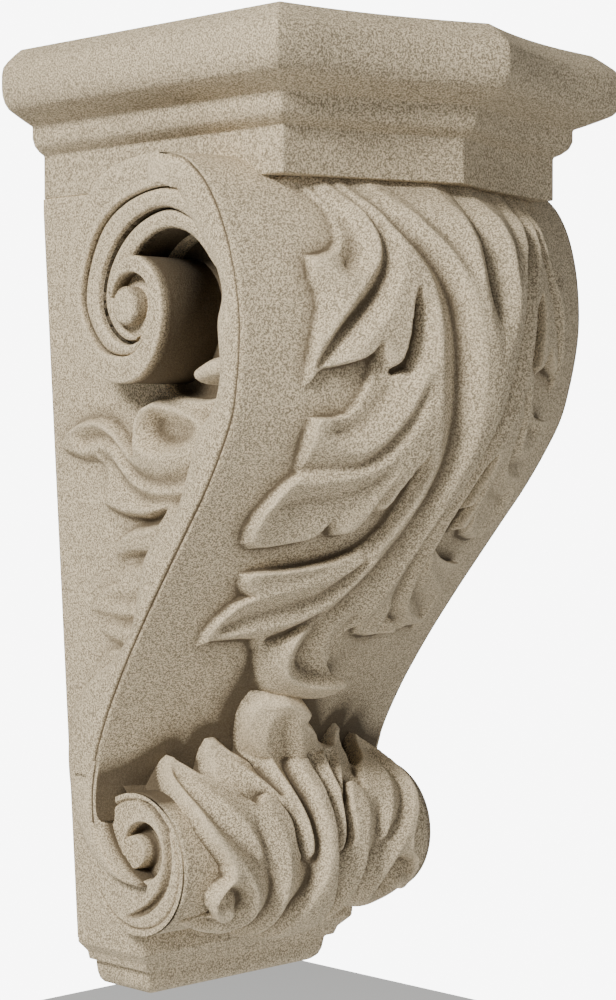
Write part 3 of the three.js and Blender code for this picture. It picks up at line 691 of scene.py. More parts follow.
SIDE_CLOSING = (0.6, 0.97, 0.99), (0, -0.2, 0)

back_line = np.vstack([smooth(TAIL_BACK, 90), smooth(INNER_EDGE[4:], 90)])
front_of_ribbon = np.vstack([front_line + [(-3, 0)], smooth(TAIL_FRONT, 50)])
RIBBON_RING = np.vstack([front_of_ribbon, back_line, RIBBON_START])


def leaf_on_side(y, z):
    """The side leaf's height; its low lobes are flatter."""
    grid_y, grid_z = np.meshgrid(side_skin[0], side_skin[1])
    into = signed_distance(grid_y, grid_z, SIDE_RING)
    flatter = 0.5 + 0.5 * ease((grid_z + 18) / 20)
    walled = blur(side_skin[2], 1) * arris(into, 1.4, 0.14) * ease(into / 1.3 + 0.35)
    raised = blur(walled * flatter, 1)
    near = (y > -113.5) & (z > -77.5) & (z < 49.5)
    return np.where(near, sample_grid((side_skin[0], side_skin[1], raised), y, z), 0)


def ribbon_on_side(y, z):
    """The ribbon's height over the block, and its crease; it dives where its tail begins."""
    into = signed_distance(y, z, RIBBON_RING)
    rounding = np.clip(line_distance(y, z, back_line) / RIBBON_ROUND, 0, 1)
    fall = RIBBON_FALL * (1 - np.sqrt(np.clip(1 - (1 - rounding) ** 2, 0, 1)))
    crease = np.exp(-((line_distance(y, z, front_line) - 1.4) / 0.9) ** 2)
    top = scroll_half(z) - block_half(z) - fall
    top = top - 1.5 * crease - 4 * ease((-92 - z) / 6)
    return np.where(into > -0.6, top * ease(into / 1.2 + 0.5), NOT_THERE), crease


# %% the side surface
def side_half(side, step):
    """One side, from the wall to the front of the bracket, as heights over the block."""
    z_at = np.linspace(SIDE_LOW, SIDE_HIGH, int((SIDE_HIGH - SIDE_LOW) / step))
    part, z = np.meshgrid(np.linspace(0, 1, int(SIDE_REACH / step)), z_at)
    edge = front_depth(np.clip(z, -104, 131.5))
    edge = edge + (FOOT_DEPTH - edge) * ease((-106 - z) / 30)
    y = edge * part
    height = leaf_on_side(y, z)
    ribbon, crease = ribbon_on_side(y, z)
    recess = signed_distance(y, z, smooth(RECESS + RECESS[:1], 120))
    cut_in = height - RECESS_DEPTH * ease(recess / RECESS_WALL)
    height = np.where((recess > 0) & (height < 7), cut_in, height)
    height = np.maximum(height, stroke_height(y, z, KNOB))
    height = np.maximum(height, ribbon)
    height = np.where((z > 123.4) & (height < 3), -2.5, height)
    # painted shade: darker down into the deep cut behind the volute, and in the crease by the front
    # arris
    shade = hollowness(np.clip(height, -14, 30), step) - 0.8 * ease((-2 - height) / 8)
    shade = shade - 0.9 * np.where(height > 10, crease, 0)
    return grid_piece(
        f"side_{'left' if side < 0 else 'right'}", side * (block_half(z) + height), y, z,
        shade, (side * 20, -16, 0), *SIDE_CLOSING)


side_half(-1, SIDE_STEP)
side_half(1, RIGHT_STEP)

# %% [markdown]
# The volute's flat band and its beads have tall upright walls, which a field of heights
# makes ragged. So they are swept: the section across the band, walls and rounded arrises
# and all, is set up at many stations between the outer and the inner line.

# %% rings of points to a closed piece
def ring_faces(rings, count):
    """Quads between one ring of points and the next, and a lid on both ends."""
    faces = []
    for r in range(rings - 1):
        for i in range(count):
            j = (i + 1) % count
            faces.append([r * count + i, r * count + j, (r + 1) * count + j, (r + 1) * count + i])
    return faces + [list(range(count))[::-1], [(rings - 1) * count + i for i in range(count)]]


# %% sections of the bands
ARRIS = 0.9
BEAD_CROWN = 1.8


def crowned(across, below, crown):
    """A face lowered towards both its edges, so that it is a round bead."""
    if below is None or below > ARRIS:
        return below
    return below + crown * (1 - math.sqrt(max(0, 1 - (2 * across - 1) ** 2)))


def band_section(width, crown=0.0):
    """Across the band from 0 to 1, and how far below the face; None is deep in the stone."""
    bend = min(0.3, ARRIS / width)
    rows = [(0, None), (0, 7.0), (0, 2.6), (0, ARRIS)]
    for a in np.linspace(0.35, 1.571, 4):
        rows.append((bend * (1 - math.cos(a)), ARRIS * (1 - math.sin(a))))
    rows += [(t, 0) for t in (0.3, 0.5, 0.7)] + [(1 - t, below) for t, below in rows[::-1]]
    if crown > 0:
        rows = [(t, crowned(t, below, crown)) for t, below in rows]
    return rows


def bead_section(width):
    return band_section(width, BEAD_CROWN)


def ribbon_section(width):
    """Rounded over to the wall side, with a thin crease beside the front arris."""
    rows = [(0, None), (0, 9.0), (0, RIBBON_FALL)]
    for t in np.linspace(0.02, 1, 36):
        round_over = 1 - min(1, t * width / RIBBON_ROUND)
        crease = 1.1 * math.exp(-(((1 - t) * width - 1.3) / 0.7) ** 2)
        rows.append((t, RIBBON_FALL * (1 - math.sqrt(1 - round_over ** 2)) + crease))
    return rows + [(1, 9.0), (1, None)]


print(len(band_section(10)), "points across a band,", len(ribbon_section(18)), "across the ribbon")

# %% sweeping and turning
IN_STONE = 9


def band_shade(below):
    """Painted shade on a band, from how far a place lies below the face; the arris is paler."""
    # painted shade: dark in the stone and down the walls, paler on the arris
    if below is None:
        return -0.9
    if below == 0:
        return 0.05
    return 0.55 if 0 < below <= ARRIS else -0.12 * below


def band_piece(name, pairs, side, drop, section, steps, sunk=0):
    """Sweeps a section between two lines; the first stations start sunk by some depth."""
    outer = smooth([p[0] for p in pairs], steps)
    inner = smooth([p[1] for p in pairs], steps)
    points, hollow = [], []
    for station, ((y0, z0), (y1, z1)) in enumerate(zip(outer, inner)):
        start = sunk * float(1 - ease(station / (0.09 * steps)))
        rows = section(math.hypot(y1 - y0, z1 - z0))
        for across, below in rows:
            y, z = y0 + (y1 - y0) * across, z0 + (z1 - z0) * across
            if below is None:
                x = block_half(z) - IN_STONE
            else:
                x = scroll_half(z) - drop - below - start
            points.append((side * x, y, z))
            hollow.append(band_shade(below))
    return add_piece(name, points, ring_faces(len(outer), len(rows)), np.array(hollow))


def turned(name, side, y, z, profile, sides=96):
    """A piece turned about an axis square to the side; profile is radius and x."""
    turns = np.linspace(0, 2 * math.pi, sides, endpoint=False)
    points = [(side * x, y + r * math.cos(a), z + r * math.sin(a))
              for r, x in profile for a in turns]
    # painted shade down the turned sides, paler on the flat face
    hollow = np.repeat([-0.3] * (len(profile) - 2) + [0.4] * 2, sides)
    return add_piece(name, points, ring_faces(len(profile), sides), hollow.astype(float))


# %% [markdown]
# Each band starts a little sunk under the cap or under the ribbon and rises out of it, as
# it would where the chisel runs out. The eye of the volute is a disc that a small drill
# and gouge leave standing in a round well.

# %% the volutes and the ribbon's tail
RIBBON_TAIL = [
    ((-16.2, -84), (-36.4, -85)), ((-16, -92), (-34, -93)), ((-17, -101), (-32.7, -101)),
    ((-19.4, -109), (-33, -108.6)), ((-23.6, -117.5), (-35.6, -114.8)),
    ((-29, -123.4), (-39.4, -120.2)), ((-37, -127.8), (-44.6, -124.9)),
    ((-45, -129.4), (-49.4, -127.8)), ((-52.4, -130), (-53, -129.7)),
]
EYE_HEIGHT = 80
eye_face = float(scroll_half(EYE_HEIGHT))
FLOOR = [(15.6, 55), (15.6, eye_face - 8.6), (15, eye_face - 8.2)]
WELL = [(13.2, 55), (13.2, eye_face - 6.2), (12.6, eye_face - 6)]
EYE = [(7, 60), (7, eye_face - 2.4), (6.8, eye_face - 1.5), (6.2, eye_face - 1),
       (5, eye_face - 0.7), (2.5, eye_face - 0.6)]
for side, label in ((-1, "left"), (1, "right")):
    band_piece(f"ribbon_tail_{label}", RIBBON_TAIL, side, 0, ribbon_section, 120, 0.4)
    band_piece(f"volute_band_{label}", VOLUTE_BAND, side, 0.05, band_section, 200, 2.5)
    band_piece(f"volute_bead_outer_{label}", OUTER_BEAD, side, 1.2, bead_section, 140, 3)
    band_piece(f"volute_bead_inner_{label}", INNER_BEAD, side, 3.6, bead_section, 130, 3)
    turned(f"volute_floor_{label}", side, -69.5, EYE_HEIGHT, FLOOR)
    turned(f"volute_well_{label}", side, -70.5, EYE_HEIGHT + 0.5, WELL)
    turned(f"volute_eye_{label}", side, -67, EYE_HEIGHT, EYE)

# %% [markdown]
# The cap is a stack of mouldings run round three sides. In plan the sides are straight,
# and the front is two shallow hollow curves that meet in a point. Each level of the
# profile is the same outline, moved out by its own amount and mitred at the corners.

# %% the cap
CAP_PROFILE = [
    (0, FRIEZE_BOTTOM), (0, 139.2), (2.4, 140.6), (4.4, 142.4), (5.5, 145.3), (5.5, 149.7),
    (9.1, 151.3), (12.8, 153.1), (16.5, 155), (18.4, 157.3), (19.4, 160), (19.7, 162.5),
    (19.7, 167.5), (19, 170.4), (16.9, 172.7), (14.1, 175.2), (10.5, TOP),
]
FRIEZE_HALF = 71
CORNER = np.array([-FRIEZE_HALF, -130.0])
BOW, APEX = np.array([-35.4, -133.2]), np.array([0, -148.2])
BOW_STEPS = 24
CAP_RUBBED, FOOT_RUBBED, BLOCK_RUBBED = 0.7, 0.6, 0.5


def cap_outline(out):
    """The cap in plan, moved out by an amount, from the wall round to the wall."""
    left = []
    for i in range(BOW_STEPS + 1):
        t = i / BOW_STEPS
        at = (1 - t) ** 2 * CORNER + 2 * t * (1 - t) * BOW + t ** 2 * APEX
        along = (1 - t) * (BOW - CORNER) + t * (APEX - BOW)
        along /= np.hypot(*along)
        normal = np.array([along[1], -along[0]])
        if i == 0:
            left.append((at[0] - out, at[1] - out * (1 + normal[0]) / -normal[1]))
        elif i == BOW_STEPS:
            left.append((0, at[1] + out / normal[1]))
        else:
            left.append(tuple(at + out * normal))
    right = [(-x, y) for x, y in left[-2::-1]]
    return [(-FRIEZE_HALF - out, 0)] + left + right + [(FRIEZE_HALF + out, 0)]


# %% [markdown]
# A moulded part is laid up like courses: one outline over the next, closed at both ends.
# Its arrises are rubbed round a little, since stone doesn't keep a knife edge.

# %% stacks of outlines
def apply_modifiers(piece):
    """Keeps the shape that the modifiers give, as plain mesh."""
    seen = piece.evaluated_get(bpy.context.evaluated_depsgraph_get())
    mesh = bpy.data.meshes.new_from_object(seen)
    piece.modifiers.clear()
    piece.data = mesh


def stack(name, rings, bevel):
    """A closed piece from outlines laid over each other, its arrises rubbed round."""
    points = [p for ring in rings for p in ring]
    faces = ring_faces(len(rings), len(rings[0]))
    piece = add_piece(name, points, faces)
    soften = piece.modifiers.new("soft arrises", "BEVEL")
    soften.width = bevel * MM
    soften.segments = 3
    soften.limit_method = "ANGLE"
    soften.angle_limit = math.radians(22)
    apply_modifiers(piece)
    piece.data.polygons.foreach_set("use_smooth", [True] * len(piece.data.polygons))
    piece.data.set_sharp_from_angle(angle=math.radians(50))
    return piece


cap_rings = [[(x, y, z) for x, y in cap_outline(out)] for out, z in CAP_PROFILE]
stack("cap", cap_rings, CAP_RUBBED)

# %% [markdown]
# The foot steps in under the block and ends in a small rounded nosing. It is stacked like
# the cap, from half-widths and depths at each height.

# %% the foot
FOOT_TOP = -146
FOOT_LEVELS = [
    (55.4, 38.5, FOOT_TOP), (55.6, 38.5, -159.6), (51, 35, -163.8), (50.1, 33.7, -167),
    (46.8, 31.6, -167.6), (46.5, 31.2, -170), (46.0, 30.8, -172.5), (44.8, 29.8, -175.2),
    (42.6, 27.6, -177.1), (39.6, 24.6, BOTTOM),
]
foot_rings = [[(-w, 0, z), (-w, -d, z), (w, -d, z), (w, 0, z)] for w, d, z in FOOT_LEVELS]
stack("foot", foot_rings, FOOT_RUBBED)

# %% [markdown]
# Behind the carving is plain stone, in two parts. The block closes the flat back between
# the cap and the foot. The core fills what is in front of it, and is narrower, because
# the side is cut in deep behind each volute. Both stay clear of the carved skins.

# %% the block and its core
CORE_INSET = 8
BLOCK_CLEAR, RECESS_CLEAR = 0.4, 16
BLOCK_DEPTH, CORE_START = -50.0, -6.0
core_side = [(0.0, 130.0), (0.0, -158.0), (-38.4, -158.0), (-36.0, -130.0), (-30.0, -100.0)]
core_side += [(float(front_depth(z)) + CORE_INSET, float(z)) for z in range(-84, 113, 14)]
core_side += [(-100.0, 124.0), (-92.0, 130.0)]


def plain_stone(name, outline, clear):
    """Fills an outline seen from the side, up to a little within both faces of the block."""
    rings = [[(s * (float(block_half(z)) - clear), y, z) for y, z in outline] for s in (-1, 1)]
    return stack(name, rings, BLOCK_RUBBED)


block_side = [(max(y, BLOCK_DEPTH), min(max(z, FOOT_TOP), FRIEZE_BOTTOM)) for y, z in core_side]
plain_stone("block", block_side, BLOCK_CLEAR)
plain_stone("core", [(min(y, CORE_START), z) for y, z in core_side], RECESS_CLEAR)

# %% [markdown]
# The roll at the bottom of the S is a plain round, and the lower leaf wraps over it and
# climbs up the front behind. Places on the leaf are given as distance from the middle
# and as a run: up to 50 the run is the angle round the roll, where 0 faces straight out,
# and from there it climbs, until at 80 it lies on the front of the bracket. So the whole
# leaf is drawn flat, like a pattern, and then bent over the stone.

# %% the roll
ROLL_Y, ROLL_Z, ROLL_RADIUS, ROLL_HALF = -46.0, -122.8, 26.3, 65.5
ROLL_END_CLEAR = 0.8


def roll_round():
    """The plain round, from below the foot to the crevice behind the leaf, where shade is painted
    on it.
    """
    x_end = ROLL_HALF - ROLL_END_CLEAR
    x, turn = np.meshgrid(np.linspace(-x_end, x_end, 60), np.linspace(-110, 160, 200))
    angle = np.radians(turn)
    y, z = ROLL_Y - ROLL_RADIUS * np.cos(angle), ROLL_Z + ROLL_RADIUS * np.sin(angle)
    # painted shade over the top of the roll, in the crevice behind the leaf
    return grid_piece("roll", x, y, z, -1.0 * ease((turn - 48) / 30), (0, ROLL_Y, ROLL_Z))


roll_round()

# %% the ground under the lower leaf
RUN_MM = 0.6
CLIMB_FROM, CLIMB_RUN = 50, 30
EASING = (-14, -9, -4, 0, 4, 9, 14)
EASED_IN = 0.3


def lower_ground(x, run):
    """Depth and height of the ground under the lower leaf."""
    angle = np.radians(np.minimum(run, CLIMB_FROM))
    y_round = ROLL_Y - ROLL_RADIUS * np.cos(angle)
    over = np.maximum(run - CLIMB_FROM, 0) * RUN_MM
    z = ROLL_Z + ROLL_RADIUS * np.sin(angle) + over
    across = np.sqrt((x / scroll_half(z)) ** 2 + RIDGE_SOFTNESS ** 2)
    y_front = front_depth(z) - front_point(z) * (1 - np.minimum(1, across))
    mix = ease(over / (CLIMB_RUN * RUN_MM))
    return (y_round + over * 0.7) * (1 - mix) + y_front * mix, z


def eased_ground(x, run):
    """The ground with its change of slope spread over a short run."""
    near = [lower_ground(x, run + shift) for shift in EASING]
    y, z = (sum(values) / len(EASING) for values in zip(*near))
    return y - EASED_IN, z


def raised_from_ground(x, run, height):
    """The place that lies a height off the ground, square to it."""
    y0, z0 = eased_ground(x, run - 6)
    y1, z1 = eased_ground(x, run + 6)
    y, z = eased_ground(x, run)
    length = np.hypot(y1 - y0, z1 - z0)
    return y - (z1 - z0) / length * height, z + (y1 - y0) / length * height


ground_y, ground_z = raised_from_ground(0.0, 60.0, 0.0)
print("the ground in the middle, at run 60:", round(float(ground_y), 1), round(float(ground_z), 1))

# %% [markdown]
# The lower leaf is a stretched skin too. Its sides mirror each other, while its middle tip
# hooks over to one side, so that tip has lines of its own.

# %% the lower leaf's outline and lines
# distance from the middle, run
LOWER_SIDE = [
    (26, -95), (26, -70), (30, -62), (38, -60), (48, -57), (56, -52), (61.5, -47), (60, -44.5),
    (53, -42.5), (48, -40), (49, -36.5), (52.5, -30), (54, -21), (52.5, -13), (48, -6), (48.5, 2),
    (51, 10), (54, 19), (56.4, 30), (57.2, 42), (56.8, 54), (55.4, 64), (52.8, 72), (50, 79),
    (48, 82), (45, 73.5), (42, 65), (38.6, 59.6), (36, 58), (35.6, 63), (35.4, 72), (36, 82),
    (35, 90),
]
CENTRE_TOP = [
    (-31, 90.5), (-27.5, 86.5), (-23, 80), (-19.8, 73), (-18.3, 67), (-19.6, 72), (-22.2, 84),
    (-24.6, 96), (-26.2, 104), (-26.6, 112), (-25.6, 119), (-22, 124), (-16, 124.6), (-10, 121.6),
    (-5.4, 118.2), (-3.4, 113), (-2.4, 108), (4.5, 101.5), (11, 94.5), (17, 87), (21.5, 81),
    (25.5, 77), (27.5, 80.5), (29.5, 85.5), (32, 90),
]
# distance from the middle, run, raised by
LOWER_PAIRED = {
    "rim": [(49.2, 77, 2.6), (52, 70, 4.2), (54, 62, 5.4), (55.3, 52, 6.2), (55.2, 42, 6.8),
        (53.6, 31, 7.4), (51, 21, 7.8), (47.6, 12, 8.2), (44, 4, 8.6), (40, -4, 8.9),
        (36.6, -12, 9), (34, -20, 8.8), (32, -28, 8.6), (31, -38, 8.2), (33, -47, 7.2),
        (40, -52.4, 5.8), (49, -52, 4.2), (58, -48, 2)],
    "knob": [(44.6, -4, 8.8), (49, -9, 8.8), (52.2, -16, 8.4), (53, -23, 8), (51.6, -30, 8),
        (48.6, -35, 8.4), (45, -35, 8.8), (43.4, -31, 8.8), (46, -27.6, 8.6)],
    "crescent": [(49.4, -25.5, 4.4), (49.2, -19.5, 3), (45.6, -15.6, 2.4), (41.4, -18, 1.8),
        (38.4, -25, 1.4), (37.4, -33, 1.4), (39.4, -41, 1.2), (46, -45, 1), (54, -44.6, 0.6)],
    "crease": [(50.6, 66, 2.3), (51.2, 56, 3.1), (51, 45, 3.5), (49, 34, 3.9), (45.6, 23.5, 4.3),
        (41, 14, 4.5), (35.8, 6, 4.5), (31, -2, 4.3)],
    "inner face": [(46.4, 66, 4.6), (46, 54, 6.8), (44, 44, 8), (40.8, 33, 8.8), (37.4, 22, 9),
        (34.6, 13, 8.6), (32.6, 5, 7.4)],
    "edge of the outer lobe": [(47.6, 79, 2.4), (44.6, 71.4, 4.4), (41.2, 63, 6), (37.4, 57.4, 7.2),
        (33.8, 53, 7.8), (31.2, 47.5, 8), (29.5, 41.5, 7.8), (28.2, 38.6, 7.4)],
    "edge of the small lobe": [(27, 39.2, 7.8), (25.2, 41, 8.6), (22.5, 44.4, 9), (19.7, 40, 9.2),
        (17.3, 32, 9.2), (16, 24, 9.2), (16, 14, 9), (14.8, 6, 8.4), (12.8, 1, 7.6)],
    "body of the small lobe": [(24.6, 36, 9.2), (24.6, 28, 9.6), (23.4, 20, 9.8), (21.6, 10, 9.8),
        (20.4, 0, 9.7), (20, -10, 9.6), (19.2, -20, 9.3), (18, -34, 8.8), (17.2, -50, 8.4),
        (17, -70, 8), (17, -95, 8)],
    "valley of the small lobe": [(32, 27, 6.5), (30.6, 18, 5.5), (29.4, 8, 4.7), (28.4, 0, 4.1),
        (25.8, -9, 3.5), (23.6, -21, 3.1), (22.2, -35, 2.7), (21.4, -50, 2.5), (21.4, -70, 2.3),
        (21.4, -95, 2.3)],
    "low side of the inner lobe": [(35, 61, 3.2), (34.2, 56, 3), (32, 50.4, 3), (30, 44, 3.2),
        (28.2, 41.4, 3.4), (26.4, 42.8, 3.6), (23, 46.8, 3.8), (20.4, 45, 3.8), (17.6, 37.4, 3.4),
        (15.4, 31, 2.6)],
    "slot": [(14.8, 31, 0.8), (14.2, 22, 0.8), (14.2, 13, 0.8), (13, 6, 1.3), (11, 1, 3.1),
        (8.6, -3, 4.1), (6.6, -9, 4.3), (6.8, -16, 4.3), (8.6, -25, 4.3), (11, -34, 4.1),
        (12.4, -48, 3.9), (12.6, -66, 3.7), (12.6, -95, 3.7)],
    "valley by the middle": [(5.5, 80, 7.7), (5.8, 66, 6.9), (5.8, 52, 6.3), (5.7, 40, 5.7),
        (5.3, 28, 5.5), (4.9, 16, 5.5), (4.8, 6, 5.3), (5.2, -4, 4.7)],
    "ridge by the middle": [(14.5, 72, 12), (13.6, 60, 12), (12.9, 50, 11.7), (12, 40, 11.4),
        (10.5, 29, 11), (9.3, 18, 10.8), (8.5, 9, 10.2), (7.6, 1, 8.8)],
    "shoulder of the middle": [(2.4, 78, 13), (2.6, 60, 13), (2.9, 44, 12.8), (2.7, 30, 12.6),
        (2.4, 14, 12.4), (2.4, 0, 12.2), (3.2, -14, 11.8), (5.2, -26, 11.2), (6.9, -38, 10.6),
        (7.6, -52, 10.2), (7.8, -66, 9.8), (7.8, -95, 9.8)],
    "inner lobe": [(33.8, 87, 2.6), (30.5, 79, 5.4), (27, 70, 7.6), (23.6, 60, 8.8),
        (20.4, 51, 9.2), (17.4, 43, 8.8), (15.2, 37, 7.6)],
    "outer side of the inner lobe": [(35.2, 84, 2.6), (34.8, 74, 4), (35, 64, 4.4)],
    "valley by the inner lobe": [(18, 66, 4.7), (16.6, 58, 5.3), (15.4, 50, 5.7), (14.2, 43, 5.7)],
}
LOWER_SINGLE = {
    "middle": [(0, 78, 13.2), (0, 40, 13), (0, 0, 12.6), (0, -30, 11.6), (0, -66, 10.6),
        (0, -95, 10)],
    "left roll": [(-14.5, 72, 12), (-16, 84, 12), (-18.2, 95, 11.6), (-19.6, 104, 11),
        (-19.8, 112, 10.6)],
    "left roll's edge": [(-19, 70, 6.6), (-21.4, 82, 7), (-23.8, 94, 7), (-25.4, 104, 7),
        (-25.7, 112, 7), (-24.4, 118.6, 7), (-21, 122.6, 7.4)],
    "valley of the middle tip": [(-5.5, 80, 9.6), (-7.6, 89, 9.4), (-10.4, 98, 9.2),
        (-13, 106, 9.4), (-14.2, 113, 9.8)],
    "middle tip": [(0, 78, 13.2), (-1.4, 89, 13), (-4, 98, 12.6), (-7, 106, 12.2),
        (-9.4, 112.6, 12)],
    "hooked end": [(-20, 121, 10.4), (-14.6, 121.8, 11.6), (-9.4, 119.6, 12.4), (-5.8, 116.6, 12.4),
        (-5, 112, 11.4), (-3, 107, 10)],
    "right slope": [(2.4, 100, 8.8), (8, 93, 8.4), (13.4, 86.5, 8.2), (18, 80, 8), (21.6, 74, 7.6)],
    "edge of the left lobe": [(-31, 89.4, 2.8), (-27.4, 85.6, 5), (-22.8, 79, 6.6), (-19.6, 72, 7)],
}

# %% the lower leaf's skin
lower_outline = [(-a, v) for a, v in LOWER_SIDE] + CENTRE_TOP + LOWER_SIDE[::-1]
lower_ring = np.array([(x, v * RUN_MM) for x, v in lower_outline], float)
to_mm = np.array([1, RUN_MM, 1])
lower_lines = [line * to_mm for rows in LOWER_PAIRED.values() for line in both_sides(rows)]
lower_lines += [np.array(rows, float) * to_mm for rows in LOWER_SINGLE.values()]
LOWER_WINDOW = (-64, 64, -95 * RUN_MM, 128 * RUN_MM)
lower_u, lower_v, lower_height = stretched_skin(
    lambda u, v: inside(u, v, lower_ring), lower_lines, LOWER_WINDOW, 0.45)
print(len(lower_lines), "crests and valleys on the lower leaf")

# %% [markdown]
# Beside the leaf its skin sinks under the roll and the front, deepest where the leaf
# leaves the roll. The short fold that a sharp bend makes there is smoothed out.

# %% the lower leaf
LEAVES_ROLL = 66


def lower_leaf():
    """The leaf over the roll, bent from its flat pattern onto the ground."""
    x_at = np.arange(-63, 63.1, 0.5)
    run_at = np.arange(-92, 127, 0.64)
    grid_u, grid_v = np.meshgrid(lower_u, lower_v)
    into = signed_distance(grid_u, grid_v, lower_ring)
    x, run = np.meshgrid(x_at, run_at)
    skin = (lower_u, lower_v, blur(lower_height, 1) * arris(into, 1.4, 0.16))
    height = sample_grid(skin, x, run * RUN_MM)
    wall = ease(sample_grid((lower_u, lower_v, into), x, run * RUN_MM) / 1.6 + 0.4)
    past = (run - LEAVES_ROLL) / 15
    sink = -2.5 - 7 * np.exp(-past ** 2) - 4 * ease(past)
    shown = sink + (height - sink) * wall
    y, z = raised_from_ground(x, run, shown)
    fold = np.exp(-((run - 79) / 11) ** 2) * ease((25 - np.abs(x)) / 5)
    y = y + (blur(y, 4) - y) * fold
    z = z + (blur(z, 4) - z) * fold
    # painted shade on the sunk skin beside the leaf where it climbs the front, in the crevice
    shade = hollowness(shown, 0.5) - 0.7 * ease((-1 - shown) / 4) * ease((run - 44) / 10)
    return grid_piece("lower_leaf", x, y, z, shade, (0, ROLL_Y + 4, ROLL_Z))


lower_leaf()

# %% [markdown]
# The front of the bracket lies in a dark crevice where the lower leaf stands off it. So shade
# is painted on it there, less the further it is from the leaf and less on raised carving.

# %% the crevice behind the lower leaf
def shade_behind_leaf(piece):
    """Paints shade on the front of the bracket where the lower leaf stands off it."""
    count = len(piece.data.vertices)
    place = np.zeros(count * 3)
    piece.data.vertices.foreach_get("co", place)
    x, y, z = place[0::3] / MM, place[1::3] / MM, place[2::3] / MM
    hollow = piece.data.attributes["hollow"].data
    value = np.zeros(count)
    hollow.foreach_get("value", value)
    near = z < -50
    climb_z = ROLL_Z + ROLL_RADIUS * math.sin(math.radians(CLIMB_FROM))
    run_mm = z[near] - climb_z + CLIMB_FROM * RUN_MM
    away = np.maximum(-signed_distance(x[near], run_mm, lower_ring), 0)
    x, y, z = x[near], y[near], z[near]
    bow = 1 - np.minimum(1, np.sqrt((x / scroll_half(z)) ** 2 + RIDGE_SOFTNESS ** 2))
    raised = front_depth(z) - front_point(z) * bow - y
    # painted shade, darkest next to the leaf and kept off raised carving
    value[near] -= 1.3 * np.exp(-(away / 6.5) ** 1.3) * (1 - ease(raised / 6))
    hollow.foreach_set("value", np.clip(value, -1, 1).astype(np.float32))


shade_behind_leaf(front_left)
shade_behind_leaf(front_right)

# %% [markdown]
# Each end of the roll is cut like a coil. A grid of rings and spokes suits it: the places
# lie close at the eye, where the walls are steep.

# %% the ends of the roll
# depth, height, half-width, how deep
COIL_CHANNEL = [
    (-46, -98.6, 0.5, 0.6), (-55, -101.5, 1.7, 3.4), (-61.4, -108, 2.2, 4.2),
    (-63.8, -117.5, 2.4, 4.4), (-62, -127.5, 2.3, 4.4), (-56, -135.5, 1.9, 3.8),
    (-48, -140.6, 1.4, 2.6), (-40, -143.2, 0.5, 0.6),
]
BOWL = (-50, -117.5, 10.6)
EYE_PLACE = (-44, -118.6, 7)


def roll_end(side):
    """The end of the roll: a rim, a thin groove, a raised ring that coils in, and an eye."""
    r_at = np.linspace(0.01, ROLL_RADIUS - 0.05, 80)
    turn_at = np.linspace(0, 2 * math.pi, 200)
    r, turn = np.meshgrid(r_at, turn_at)
    y = ROLL_Y - r * np.cos(turn)
    z = ROLL_Z + r * np.sin(turn)
    groove = 1.2 * np.exp(-((r - 23.6) / 0.5) ** 2) * ease((y + 20) / -14)
    channel = stroke_height(y, z, COIL_CHANNEL, 60)
    height = np.where(channel > 0, -channel, -groove)
    into_bowl = BOWL[2] - np.hypot(y - BOWL[0], z - BOWL[1])
    height -= 7.0 * ease(into_bowl + 0.4)
    eye = np.hypot(y - EYE_PLACE[0], z - EYE_PLACE[1])
    domed = -0.6 - 6.4 * ease((eye - 5.9) / 0.8)
    height = np.maximum(height, np.where(eye < EYE_PLACE[2], domed, NOT_THERE))
    return grid_piece(
        f"roll_end_{'left' if side < 0 else 'right'}", side * (ROLL_HALF + height), y, z,
        hollowness(height, 0.4), (side * 30, ROLL_Y, ROLL_Z))


roll_end(-1)
roll_end(1)

# %% [markdown]
# Sandstone is made of grains you can see: pale quartz, dark specks, and a warm body
# between. So the colour is a buff ground, a slow drift of tone over a hand's breadth,
# and two sizes of grain. The same grains make the bump. Hollows and crevices are
# painted in dark brown shade, with some dust; proud edges are paler. Written with plain
# signs, such sums stay easy to read.

# %% shader maths
class Wire:
    """A node's output, with + - * / that add Math nodes."""

    def __init__(self, tree, socket):
        self.tree = tree
        self.socket = socket

    def node(self, kind, settings=None, **sockets):
        """Any other node; i0, i1 and so on name an input by its number."""
        made = self.tree.nodes.new(kind)
        for key, value in (settings or {}).items():
            setattr(made, key, value)
        for key, value in sockets.items():
            name = key.replace("_", " ")
            where = made.inputs[int(name[1:])] if name[1:].isdigit() else made.inputs[name]
            if isinstance(value, Wire):
                self.tree.links.new(value.socket, where)
            else:
                where.default_value = value
        return made

    def maths(self, operation, other, flip=False):
        a, b = (other, self) if flip else (self, other)
        made = self.node("ShaderNodeMath", {"operation": operation}, i0=a, i1=b)
        return Wire(self.tree, made.outputs[0])

    def __add__(self, other):
        return self.maths("ADD", other)

    def __radd__(self, other):
        return self.maths("ADD", other, True)

    def __sub__(self, other):
        return self.maths("SUBTRACT", other)

    def __rsub__(self, other):
        return self.maths("SUBTRACT", other, True)

    def __mul__(self, other):
        return self.maths("MULTIPLY", other)

    def __rmul__(self, other):
        return self.maths("MULTIPLY", other, True)

    def clamped(self):
        made = self.node("ShaderNodeClamp", i0=self)
        return Wire(self.tree, made.outputs[0])

    def noise(self, scale, detail, rough=0.5):
        made = self.node(
            "ShaderNodeTexNoise", Vector=self, Scale=scale, Detail=detail, Roughness=rough)
        return Wire(self.tree, made.outputs[0])

    def tint(self, low, high):
        made = self.node("ShaderNodeMix", {"data_type": "RGBA"}, i0=self)
        for socket, value in ((made.inputs[6], low), (made.inputs[7], high)):
            if isinstance(value, Wire):
                self.tree.links.new(value.socket, socket)
            else:
                socket.default_value = (*value, 1)
        return Wire(self.tree, made.outputs[2])


# %% [markdown]
# The colours are mixed, one over the other: ground, grain, painted shade with some dust
# in the hollows, and paler proud edges.

